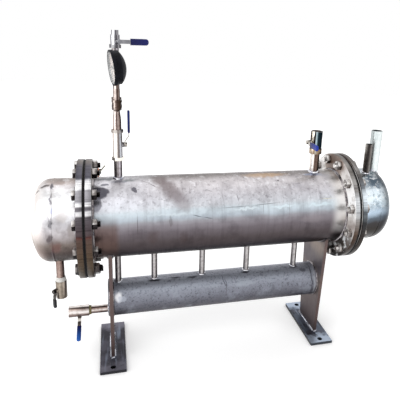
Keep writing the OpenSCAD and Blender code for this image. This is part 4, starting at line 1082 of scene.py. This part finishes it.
class EXCHANGER_OT_bolts(bpy.types.Operator):
    """Replace the plain flange bolts with chamfered heads, nuts and threaded tails"""

    bl_idname = "exchanger.bolts"
    bl_label = "Flange bolts"

    def execute(self, context):
        sizes = exchanger_sizes()
        tail_x = FLANGE_BACK - sizes.nut - sizes.bolt_tail
        tails = [vert.co for vert in NODES["flange_bolts"].data.vertices if abs(vert.co.x - tail_x) < MM]
        offs = [sqrt(place.y ** 2 + (place.z - SHELL_Z) ** 2) for place in tails]
        circle = (min(offs) + max(offs)) / 2
        bm = bmesh.new()
        for side in (1, -1):
            for index in range(BOLT_COUNT):
                known = set(bm.verts)
                head_turn, nut_turn = (radians(step * index % HEX_TURN) for step in (HEAD_STEP, NUT_STEP))
                self.bolt(bm, sizes, head_turn, nut_turn)
                fresh = [vert for vert in bm.verts if vert not in known]
                turn = Matrix.Rotation((index + 0.5) * 2 * pi / BOLT_COUNT, 4, "X")
                place = Matrix.Translation(UP * SHELL_Z) @ turn @ Matrix.Translation(BACK * circle)
                flip = Matrix.Diagonal((side, 1, 1, 1))
                bmesh.ops.transform(bm, matrix=flip @ place, verts=fresh)
        bolts = finish_piece("flange_bolt_set", bm, bolt_steel(), crease=28)
        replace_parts(bolts, "flange_bolts")
        return {"FINISHED"}

    def bolt(self, bm, sizes, head_turn, nut_turn):
        """One bolt along X at the axis, with its head on the right."""
        flats, chamfer = sizes.bolt_flats, sizes.hex_chamfer
        hexagon(bm, BONNET_BACK, BONNET_BACK + sizes.bolt_head, flats, chamfer, head_turn)
        hexagon(bm, FLANGE_BACK - sizes.nut, FLANGE_BACK, flats, chamfer, nut_turn)
        crest = sizes.bolt_thread / 2
        root = crest - THREAD_DEPTH * sizes.thread_pitch
        start = FLANGE_BACK - sizes.nut - sizes.bolt_tail
        outline = [(start, 0), (start, root)]
        for turn in range(int((sizes.bolt_tail + sizes.nut / 2) / sizes.thread_pitch)):
            foot = start + (turn + 0.5) * sizes.thread_pitch
            outline += [(foot, crest), (foot + sizes.thread_pitch / 2, root)]
        outline += [(FLANGE_BACK, root), (BONNET_BACK + sizes.bolt_head / 2, root)]
        outline.append((BONNET_BACK + sizes.bolt_head / 2, 0))
        turned(bm, Vector(), ALONG, outline, 20)


BOLT_COUNT = 12
# Depth of a thread as a share of its pitch
THREAD_DEPTH = 0.6
# Degrees by which one bolt's head and nut are turned from the next, and after which a hexagon looks the same
HEAD_STEP, NUT_STEP, HEX_TURN = 37, 23, 60


class EXCHANGER_OT_legs(bpy.types.Operator):
    """Finish the legs and the foot plates"""

    bl_idname = "exchanger.legs"
    bl_label = "Legs and feet"

    def execute(self, context):
        dress(leg_steel(), "left_leg", "right_leg")
        dress(foot_steel(), "foot_plates")
        soften(exchanger_sizes().edge_round, "left_leg", "right_leg", "foot_plates")
        return {"FINISHED"}


class EXCHANGER_OT_header(bpy.types.Operator):
    """Finish the header, its end plates and the risers"""

    bl_idname = "exchanger.header"
    bl_label = "Header and risers"

    def execute(self, context):
        dress(header_steel(), "header_pipe", "header_end_plates")
        dress(small_steel("mill_stainless_riser", TO_RIGHT, RISER_TONE, patch="#8b8280"), "riser_pipes")
        return {"FINISHED"}


# Painted light and shade of the risers by how far they face the right end
RISER_TONE = (
    (-1, "#6a6566"), (-0.6, "#9b9798"), (-0.2, "#c2bfbf"), (0.1, "#b3afae"), (0.35, "#8b8686"),
    (0.6, "#6f6a6a"), (1, "#433e3e"),
)


class EXCHANGER_OT_welds(bpy.types.Operator):
    """Lay rippled weld beads where plates and pipes are joined"""

    bl_idname = "exchanger.welds"
    bl_label = "Welds"

    def execute(self, context):
        sizes = exchanger_sizes()
        bright = weld_steel("brushed_weld", WELD_BRIGHT)
        dull = weld_steel("dull_weld", WELD_DULL)
        self.flange_beads(sizes, dull)
        self.bonnet_beads(sizes)
        self.leg_beads(sizes, dull)
        self.header_beads(sizes, bright)
        self.nozzle_beads(sizes, bright)
        return {"FINISHED"}

    def flange_beads(self, sizes, steel):
        bm = bmesh.new()
        for x in (FLANGE_BACK, -FLANGE_BACK, BONNET_BACK, -BONNET_BACK):
            weld_arc(bm, sizes, Vector((x, 0, SHELL_Z)), ALONG, SHELL_R + BEAD_LIFT, sizes.fillet)
        finish_piece("flange_welds", bm, steel)

    def bonnet_beads(self, sizes):
        for side, x, sunk in (("left", LEFT_SEAM, LEFT_SUNK), ("right", RIGHT_SEAM, RIGHT_SUNK)):
            bm = bmesh.new()
            weld_arc(bm, sizes, Vector((x, 0, SHELL_Z)), ALONG, SHELL_R - sunk, sizes.butt)
            steel = NODES[f"{side}_dished_head"].active_material
            finish_piece(f"{side}_bonnet_seam_weld", bm, steel)

    def leg_beads(self, sizes, steel):
        bm = bmesh.new()
        for leg in ("left_leg", "right_leg"):
            low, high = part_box(leg)
            half_top = reach(leg).y
            spread = 2 * atan2(half_top, sqrt(SHELL_R ** 2 - half_top ** 2))
            mesh = NODES[leg].data
            half_foot = max(abs(vert.co.y) for vert in mesh.vertices if vert.co.z < FOOT_TOP + MM)
            for x in (low.x, high.x):
                weld_arc(bm, sizes, Vector((x, 0, SHELL_Z)), ALONG, SHELL_R, sizes.fillet, -UP, spread)
                foot = Vector((x, half_foot, FOOT_TOP))
                weld_run(bm, sizes, foot * Vector((1, -1, 1)), foot, sizes.fillet)
                weld_arc(bm, sizes, Vector((x, 0, HEADER_Z)), ALONG, HEADER_R, sizes.small_fillet)
            for y in (-half_foot, half_foot):
                ends = (Vector((x, y, FOOT_TOP)) for x in (low.x, high.x))
                weld_run(bm, sizes, *ends, sizes.fillet)
        finish_piece("leg_welds", bm, steel)

    def header_beads(self, sizes, steel):
        bm = bmesh.new()
        top, bottom = seat_on(-UP, "header_pipe"), seat_on(UP, "shell")
        for x, radius in riser_places():
            for seat in (top, bottom):
                weld_arc(bm, sizes, Vector((x, 0, HEADER_Z)), UP, radius, sizes.small_fillet, seat=seat)
        nipple = middle("header_drain_nipple")
        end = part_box("header_end_plates")[0].x
        weld_arc(bm, sizes, Vector((end, nipple.y, nipple.z)), ALONG, reach("header_drain_nipple").z,
                 sizes.small_fillet)
        finish_piece("header_welds", bm, steel)

    def nozzle_beads(self, sizes, steel):
        bm = bmesh.new()
        for pipe, hosts, way, bead in NOZZLE_SEATS:
            centre = Vector((middle(pipe).x, middle(pipe).y, SHELL_Z))
            seat = seat_on(way, *hosts)
            weld_arc(bm, sizes, centre, UP, reach(pipe).x, bead * sizes.fillet, seat=seat)
        finish_piece("nozzle_welds", bm, steel)


# How far a flange's bead stands off the shell, and how far a seam's is sunk in it
BEAD_LIFT = 0.5 * MM
LEFT_SUNK, RIGHT_SUNK = 3.4 * MM, 4.4 * MM
# Risers are further apart than this
RISER_GAP = 30 * MM
# Pipe, what it stands on, the way to look for its seat, and its bead as a share of the fillet
NOZZLE_SEATS = (
    ("gauge_standpipe", ("shell",), -UP, 1.0),
    ("shell_nozzle", ("shell",), -UP, 1.0),
    ("short_bonnet_nozzle", ("right_bonnet_barrel", "right_dished_head"), -UP, 0.7),
    ("tall_bonnet_nozzle", ("right_bonnet_barrel", "right_dished_head"), -UP, 0.8),
    ("bonnet_drain_pipe", ("left_bonnet_barrel", "left_dished_head"), UP, 0.6),
)


def riser_places():
    """Place along the header and radius of each riser, from the risers' own solid."""
    xs = sorted(vert.co.x for vert in NODES["riser_pipes"].data.vertices)
    groups = [[xs[0]]]
    for x in xs:
        if x - groups[-1][-1] > RISER_GAP:
            groups.append([])
        groups[-1].append(x)
    return [((group[0] + group[-1]) / 2, (group[-1] - group[0]) / 2) for group in groups]


class EXCHANGER_OT_pipes(bpy.types.Operator):
    """Finish the small pipes, the fittings and the open nozzles, with tape and sealant at two joints"""

    bl_idname = "exchanger.pipes"
    bl_label = "Pipes and fittings"

    def execute(self, context):
        for name, way, stops, patch, nodes in PIPES:
            dress(small_steel(name, way, stops, patch=patch), *nodes)
        self.wind_tape(exchanger_sizes())
        self.smear_sealant(exchanger_sizes())
        return {"FINISHED"}

    def wind_tape(self, sizes):
        pipe = middle("bonnet_drain_pipe")
        radius = reach("bonnet_drain_pipe").x
        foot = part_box("bonnet_drain_valve")[1].z
        lip, wide = sizes.tape, sizes.tape_width
        # Layers of tape, thickest near the valve: place and thickness
        layers = ((0, 0), (0, 1.6), (lip, 1.9), (wide / 2, 1.4), (wide - lip, 1), (wide, 0.5), (wide, 0),
                  (0, 0))
        bm = bmesh.new()
        outline = [(along, radius + lip * thick) for along, thick in layers]
        turned(bm, Vector((pipe.x, pipe.y, foot)), UP, outline)
        finish_piece("drain_thread_tape", bm, skin("tape"))

    def smear_sealant(self, sizes):
        nipple = middle("header_drain_nipple")
        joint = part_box("header_drain_valve")[1].x
        bm = bmesh.new()
        for step, size in SEALANT_TURNS:
            centre = Vector((joint + step * sizes.sealant, nipple.y, nipple.z))
            weld_arc(bm, sizes, centre, ALONG, reach("header_drain_nipple").z, sizes.sealant * size)
        finish_piece("drain_thread_sealant", bm, skin("sealant"))


# Place from the joint and size of each turn of sealant, as shares of its radius
SEALANT_TURNS = ((0.4, 1.0), (1.7, 0.8))
# Painted light, shade and reflection of upright pipes by the angle round them, from left to right, and of a
# level one from below
STANDPIPE_TONE = (
    (-90, "#6f6867"), (-44, "#8d8788"), (-12, "#9d9899"), (3, "#7d7778"), (17, "#bdb8be"), (33, "#aaa5ab"),
    (49, "#5a5456"), (90, "#332e30"),
)
NIPPLE_TONE = (
    (-90, "#6d5c56"), (-55, "#a8968f"), (-30, "#f5edea"), (-14, "#8a7771"), (-2, "#463937"), (9, "#b3a39d"),
    (27, "#857570"), (49, "#544642"), (90, "#2b2220"),
)
STEM_TONE = (
    (-90, "#8a7871"), (-50, "#e6d7d0"), (-18, "#e9dbd5"), (-2, "#5d4c47"), (14, "#43352f"), (30, "#7d6c65"),
    (55, "#5f4f49"), (80, "#2f2522"),
)
FITTING_TONE = (
    (-90, "#2f231f"), (-52, "#4f3f39"), (-30, "#d5c9c2"), (-18, "#7d6b64"), (2, "#4a3b35"), (40, "#33271f"),
    (90, "#191210"),
)
DRAIN_TONE = (
    (-83, "#6d5b55"), (-40, "#8f7a73"), (-5, "#ab978f"), (15, "#7d6a63"), (50, "#6b5852"), (95, "#3c2f2c"),
)
NOZZLE_TONE = (
    (-115, "#8d8178"), (-78, "#e9e1da"), (-55, "#ffffff"), (-37, "#f1eae4"), (-28, "#6d5b52"),
    (-13, "#5b4a42"), (5, "#7d6a60"), (28, "#43362f"), (65, "#241d1a"),
)
PALE_TONE = (
    (-122, "#7d8383"), (-95, "#a5acac"), (-60, "#b9c1c1"), (-32, "#cdd5d5"), (-5, "#e3e9e9"),
    (25, "#d3d9d9"), (45, "#a3a9a9"), (58, "#7d8383"),
)
DARK_TONE = (
    (-121, "#77746f"), (-85, "#b5b2ad"), (-65, "#8b8884"), (-45, "#3f3b39"), (-20, "#2f2b2a"),
    (0, "#5b5754"), (20, "#7d7976"), (40, "#4a4643"), (60, "#2b2725"),
)
LEVEL_TONE = (
    (-1, "#2b2223"), (0, "#55464a"), (0.5, "#7d6c68"), (0.75, "#cfc3be"), (0.85, "#f4efec"),
    (0.92, "#b5a49d"), (1, "#8b7770"),
)
# Finish, way or pipe that its tone goes by, tone, colour of its patches, and nodes
PIPES = (
    ("grey_mill_stainless_pipe", "gauge_standpipe", STANDPIPE_TONE, "#9a8c86",
     ("gauge_standpipe", "vent_pipe")),
    ("pink_mill_stainless_nipple", "gauge_standpipe", NIPPLE_TONE, "#a8968e", ("reducing_nipple",)),
    ("pink_turned_stainless_stem", "gauge_stem", STEM_TONE, "#a8968e", ("gauge_stem",)),
    ("brown_cast_stainless_tee", "gauge_standpipe", FITTING_TONE, "#8f7a70", ("gauge_tee", "gauge_branch")),
    ("brown_cast_stainless_elbow", "gauge_stem", FITTING_TONE, "#8f7a70", ("gauge_elbow",)),
    ("brown_mill_stainless_pipe", "bonnet_drain_pipe", DRAIN_TONE, "#94827a", ("bonnet_drain_pipe",)),
    ("dark_mill_stainless_nipple", UP_FRONT, LEVEL_TONE, "#8f7a70", ("header_drain_nipple",)),
    ("half_bright_stainless_nozzle", "shell_nozzle", NOZZLE_TONE, "#b5a79e", ("shell_nozzle",)),
    ("pale_stainless_nozzle", "tall_bonnet_nozzle", PALE_TONE, "#e1e7e7", ("tall_bonnet_nozzle",)),
    ("dark_stainless_nozzle", "short_bonnet_nozzle", DARK_TONE, "#9a8c86", ("short_bonnet_nozzle",)),
)


class EXCHANGER_OT_valves(bpy.types.Operator):
    """Finish the valve bodies and the lever straps"""

    bl_idname = "exchanger.valves"
    bl_label = "Valves and levers"

    def execute(self, context):
        for name, way, stops, rough, patch, bands, nodes in VALVES:
            dress(small_steel(name, way, stops, rough, patch, 0.35, bands), *nodes)
        soften(exchanger_sizes().edge_round, "isolating_valve", "shell_nozzle_valve", "vent_valve",
               "header_drain_valve", "bonnet_drain_valve")
        return {"FINISHED"}


# Painted light, shade and reflection of the valves and straps, by the angle round their pipe or by how far
# they face one way
ISOLATING_TONE = (
    (-90, "#7d736c"), (-65, "#9a908a"), (-45, "#d5ccc5"), (-32, "#fbf7f2"), (-8, "#f3ede7"), (1, "#7d7573"),
    (20, "#6f6867"), (31, "#c6cad1"), (50, "#b3b3b8"), (72, "#4d4748"), (90, "#3a3435"),
)
VENT_TONE = (
    (-90, "#4a474d"), (-64, "#77757a"), (-45, "#bdbdc2"), (-28, "#f4f4f6"), (-14, "#d0d0d4"),
    (-4, "#8f8d92"), (6, "#6a686d"), (20, "#57555a"), (38, "#a8a6aa"), (60, "#57545a"), (90, "#333034"),
)
NOZZLE_VALVE_TONE = (
    (-115, "#4a4440"), (-88, "#5a524c"), (-78, "#2f2d2d"), (-70, "#f1ead6"), (-52, "#f7f2e4"),
    (-46, "#3a3a3c"), (-33, "#33373a"), (-29, "#b9cbd1"), (-18, "#7f969f"), (-10, "#1b2a31"),
    (20, "#101a20"), (60, "#0c1317"),
)
LEVEL_VALVE_TONE = (
    (-1, "#33292a"), (0, "#5f504c"), (0.5, "#8d7b75"), (0.75, "#e9e2df"), (0.85, "#f4efec"), (1, "#a08c85"),
)
DRAIN_VALVE_TONE = (
    (-83, "#57504a"), (-45, "#857b70"), (-10, "#a59a8d"), (12, "#80766b"), (35, "#b9ada0"), (60, "#716559"),
    (95, "#3a312a"),
)
STRAP_TONE = (
    (-1, "#3f3a36"), (-0.4, "#5f5953"), (0, "#7f7870"), (0.3, "#a59f97"), (0.6, "#cbc7c1"), (1, "#aca69f"),
)
GREY_STRAP_TONE = (
    (-1, "#4d4d51"), (0, "#7d7d82"), (0.4, "#a8a8ad"), (0.7, "#dcdcdf"), (1, "#c2c2c6"),
)
DARK_STRAP_TONE = (
    (-1, "#151414"), (0, "#2b2928"), (0.6, "#4f4b48"), (1, "#3a3736"),
)
# Roughness of polished and of satin steel
BRIGHT, SATIN = (0.16, 0.3), (0.24, 0.4)
# Finish, way or pipe that its tone goes by, tone, roughness, colour of its patches, end rings and nodes
VALVES = (
    ("cream_turned_stainless_valve", "gauge_standpipe", ISOLATING_TONE, SATIN, "#cfc6c0",
     ((718, 729, "#f3efe6", 0.85), (811, 822, "#8d8580", 0.55)), ("isolating_valve",)),
    ("bright_turned_stainless_valve", "gauge_standpipe", VENT_TONE, BRIGHT, "#a8a2a0", (), ("vent_valve",)),
    ("mirror_stainless_valve", "shell_nozzle", NOZZLE_VALVE_TONE, BRIGHT, "#c9bdb0",
     ((726, 744, "#b59a7d", 0.55),), ("shell_nozzle_valve",)),
    ("tarnished_stainless_valve", UP_FRONT, LEVEL_VALVE_TONE, SATIN, "#8f8068", (), ("header_drain_valve",)),
    ("olive_stainless_valve", "bonnet_drain_pipe", DRAIN_VALVE_TONE, SATIN, "#948a7b", (),
     ("bonnet_drain_valve",)),
    ("pressed_stainless_strap", TO_LIGHT, STRAP_TONE, SATIN, "#8f8070", (),
     ("header_drain_lever", "isolating_lever", "shell_nozzle_lever")),
    ("grey_stainless_strap", TO_LIGHT, GREY_STRAP_TONE, SATIN, "#a5a3a3", (), ("vent_lever",)),
    ("blackened_stainless_strap", TO_LIGHT, DARK_STRAP_TONE, SATIN, "#8f8070", (), ("bonnet_drain_lever",)),
)


class EXCHANGER_OT_grips(bpy.types.Operator):
    """Replace the plain lever grips with rounded dipped vinyl"""

    bl_idname = "exchanger.grips"
    bl_label = "Lever grips"

    def execute(self, context):
        colours = exchanger_colours()
        for valve, slot, tip in GRIPS:
            self.grip(valve, getattr(colours, slot), tip, slot)
        return {"FINISHED"}

    def grip(self, valve, base, tip, slot):
        body, node = f"{valve}_handle", f"{valve}_grip"
        pivot, ways = handle_ways(body, node)
        spans = extents(node, pivot, ways)
        sizes = [high - low for low, high in spans]
        centre = [(high + low) / 2 for low, high in spans]
        bm = bmesh.new()
        bmesh.ops.create_cube(bm, size=1.0, matrix=Matrix.Diagonal((*sizes, 1)))
        upright = [edge for edge in bm.edges if all(vert.co.x > 0 for vert in edge.verts)
                   and abs(edge.verts[0].co.z - edge.verts[1].co.z) > sizes[2] / 2]
        bmesh.ops.bevel(bm, geom=upright, offset=sizes[1] * GRIP_END, segments=8, profile=0.5,
                        affect="EDGES", material=-1)
        rims = [edge for edge in bm.edges if abs(edge.verts[0].co.z - edge.verts[1].co.z) < sizes[2] / 2]
        bmesh.ops.bevel(bm, geom=rims, offset=sizes[2] * GRIP_EDGE, segments=4, profile=0.5,
                        affect="EDGES", material=-1)
        place = Matrix(ways).transposed().to_4x4()
        place.translation = pivot
        bm.transform(place @ Matrix.Translation(centre))
        vinyl = dipped_vinyl(f"dipped_vinyl_{valve}", base, tip, pivot, ways[0], *spans[0])
        piece = finish_piece(f"{valve}_vinyl_grip", bm, vinyl, body, crease=60)
        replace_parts(piece, node)


# Rounding of a grip's end as a share of its width, and of its edges as a share of its thickness
GRIP_END, GRIP_EDGE = 0.47, 0.4
# Valve, vinyl, and the painted sheen that it pales to at its tip
GRIPS = (
    ("header_drain", "blue_vinyl", "#2c63b8"),
    ("isolating", "blue_vinyl", "#16266e"),
    ("vent", "blue_vinyl", "#0d1764"),
    ("shell_nozzle", "blue_vinyl", "#1b38a4"),
    ("bonnet_drain", "black_vinyl", "#141417"),
)


class EXCHANGER_OT_gauge(bpy.types.Operator):
    """Finish the gauge and print its dial"""

    bl_idname = "exchanger.gauge"
    bl_label = "Pressure gauge"

    def execute(self, context):
        dress(skin("enamel"), "gauge_case")
        soften(exchanger_sizes().edge_round, "gauge_case")
        dress(clear_glass(), "gauge_glass")
        face = glass_facing()
        up = (UP - face * face.dot(UP)).normalized()
        centre = middle("gauge_glass") + face * extents("gauge_dial", middle("gauge_glass"), (face,))[0][0]
        rim = extents("gauge_dial", centre, (face.cross(up),))[0]
        radius = (rim[1] - rim[0]) / 2
        place = Matrix((up.cross(face), up, face)).transposed().to_4x4()
        place.translation = centre
        self.dial(place, radius)
        self.marks(place, radius)
        return {"FINISHED"}

    def dial(self, place, radius):
        bm = bmesh.new()
        edge = [(DIAL_THICK - DIAL_EDGE, radius), (DIAL_THICK, radius - DIAL_EDGE)]
        turned(bm, Vector(), UP, [(0, 0), (0, radius), *edge, (DIAL_THICK, 0)], 96)
        bm.transform(place)
        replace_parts(finish_piece("gauge_dial_face", bm, skin("dial")), "gauge_dial")

    def marks(self, place, radius):
        bm = bmesh.new()
        count = MAJOR_MARKS * MINOR_MARKS
        for index in range(count + 1):
            turn = dial_turn(index / count)
            major = index % MINOR_MARKS == 0
            long, wide = MAJOR_SIZE if major else MINOR_SIZE
            spoke = turn @ Matrix.Translation(UP * DIAL_THICK + BACK * (radius - MARK_EDGE - long / 2))
            bmesh.ops.create_cube(bm, size=1.0, matrix=spoke @ Matrix.Diagonal((wide, long, PRINT_THICK, 1)))
            if major:
                number = str(index // MINOR_MARKS * NUMBER_STEP)
                self.number(bm, number, turn @ (BACK * radius * NUMBER_PLACE))
        self.pointer(bm, radius)
        bm.transform(place)
        finish_piece("gauge_dial_marks", bm, skin("dial_print"))

    def pointer(self, bm, radius):
        """A hub and a needle that tapers to its tip, at the start of the scale."""
        brow = [(HUB_TOP - HUB_EDGE, HUB_R), (HUB_TOP, HUB_R - HUB_BROW)]
        turned(bm, UP * DIAL_THICK, UP, [(0, 0), (0, HUB_R), *brow, (HUB_TOP, 0)], 24)
        turn = dial_turn(0)
        shift = UP * (DIAL_THICK + NEEDLE_LIFT) + BACK * radius * (0.5 - NEEDLE_TAIL)
        shape = Matrix.Diagonal((NEEDLE_WIDE, radius, NEEDLE_THICK, 1))
        made = bmesh.ops.create_cube(bm, size=1.0, matrix=turn @ Matrix.Translation(shift) @ shape)
        tip = turn @ (BACK * radius * (1 - NEEDLE_TAIL))
        for vert in made["verts"]:
            if (vert.co.xy - tip.xy).length < radius * NEEDLE_TAIL:
                vert.co.xy = vert.co.xy.lerp(tip.xy, NEEDLE_TAPER)

    def number(self, bm, words, centre):
        """Sets a plain number flat on the dial."""
        curve = bpy.data.curves.new("dial_number", "FONT")
        curve.body = words
        curve.size = NUMBER_SIZE
        curve.align_x = "CENTER"
        curve.align_y = "CENTER"
        curve.extrude = PRINT_THICK
        text = bpy.data.objects.new("dial_number", curve)
        mesh = bpy.data.meshes.new_from_object(text)
        mesh.transform(Matrix.Translation(Vector((centre.x, centre.y, DIAL_THICK))))
        bm.from_mesh(mesh)
        bpy.data.objects.remove(text)
        bpy.data.meshes.remove(mesh)
        bpy.data.curves.remove(curve)


def glass_facing():
    """Way that the gauge's glass faces, from its largest flat."""
    flat = max(NODES["gauge_glass"].data.polygons, key=lambda polygon: polygon.area)
    return flat.normal * (-1 if flat.normal.x > 0 else 1)


DIAL_THICK = 1.5 * MM
DIAL_EDGE = 0.3 * MM
PRINT_THICK = 0.15 * MM
# Marks of the scale: how many, their length and width, and their distance from the dial's edge
MAJOR_MARKS, MINOR_MARKS = 5, 4
MAJOR_SIZE, MINOR_SIZE = (7 * MM, 1.1 * MM), (4 * MM, 0.6 * MM)
MARK_EDGE = 4 * MM
DIAL_START = radians(135)
# Numbers: the step from one to the next, height, and place as a share of the dial's radius
NUMBER_STEP = 2
NUMBER_SIZE = 9 * MM
NUMBER_PLACE = 0.62
# Pointer: its hub, and its needle with its tail and taper as shares
HUB_R, HUB_TOP, HUB_EDGE, HUB_BROW = 4.5 * MM, 3.6 * MM, 0.6 * MM, 0.7 * MM
NEEDLE_WIDE, NEEDLE_THICK, NEEDLE_LIFT = 2.4 * MM, 0.8 * MM, 1.5 * MM
NEEDLE_TAIL, NEEDLE_TAPER = 0.2, 0.7


def dial_turn(share):
    """Turn from the top of the dial to a share of its scale, clockwise from the lower left."""
    return Matrix.Rotation(DIAL_START - share * 2 * DIAL_START, 4, "Z")


class EXCHANGER_OT_air_cock(bpy.types.Operator):
    """Finish the brass air cock and its lever"""

    bl_idname = "exchanger.air_cock"
    bl_label = "Air cock"

    def execute(self, context):
        dress(skin("brass"), "air_cock")
        dress(skin("plate"), "air_cock_lever")
        return {"FINISHED"}


OPERATORS = (
    EXCHANGER_OT_stage, EXCHANGER_OT_vessel, EXCHANGER_OT_bolts, EXCHANGER_OT_legs, EXCHANGER_OT_header,
    EXCHANGER_OT_welds, EXCHANGER_OT_pipes, EXCHANGER_OT_valves, EXCHANGER_OT_grips, EXCHANGER_OT_gauge,
    EXCHANGER_OT_air_cock,
)


class EXCHANGER_PT_looks(bpy.types.Panel):
    """Lists the operators with the sizes and colours that they use"""

    bl_idname = "EXCHANGER_PT_looks"
    bl_label = "Heat exchanger"
    bl_space_type = "VIEW_3D"
    bl_region_type = "UI"
    bl_category = "Exchanger"

    def draw(self, context):
        for operator in OPERATORS:
            self.layout.operator(operator.bl_idname)
        for group in (context.scene.exchanger_sizes, context.scene.exchanger_colours):
            for name in group.__annotations__:
                self.layout.prop(group, name)


CLASSES = (ExchangerSizes, ExchangerColours, *OPERATORS, EXCHANGER_PT_looks)


def register():
    for cls in CLASSES:
        bpy.utils.register_class(cls)
    bpy.types.Scene.exchanger_sizes = bpy.props.PointerProperty(type=ExchangerSizes)
    bpy.types.Scene.exchanger_colours = bpy.props.PointerProperty(type=ExchangerColours)


def unregister():
    del bpy.types.Scene.exchanger_colours
    del bpy.types.Scene.exchanger_sizes
    for cls in reversed(CLASSES):
        bpy.utils.unregister_class(cls)


def main():
    register()
    bpy.ops.exchanger.stage()
    bpy.ops.exchanger.vessel()
    bpy.ops.exchanger.bolts()
    bpy.ops.exchanger.legs()
    bpy.ops.exchanger.header()
    bpy.ops.exchanger.welds()
    bpy.ops.exchanger.pipes()
    bpy.ops.exchanger.valves()
    bpy.ops.exchanger.grips()
    bpy.ops.exchanger.gauge()
    bpy.ops.exchanger.air_cock()
    bpy.context.view_layer.update()


if __name__ == "__main__":
    main()
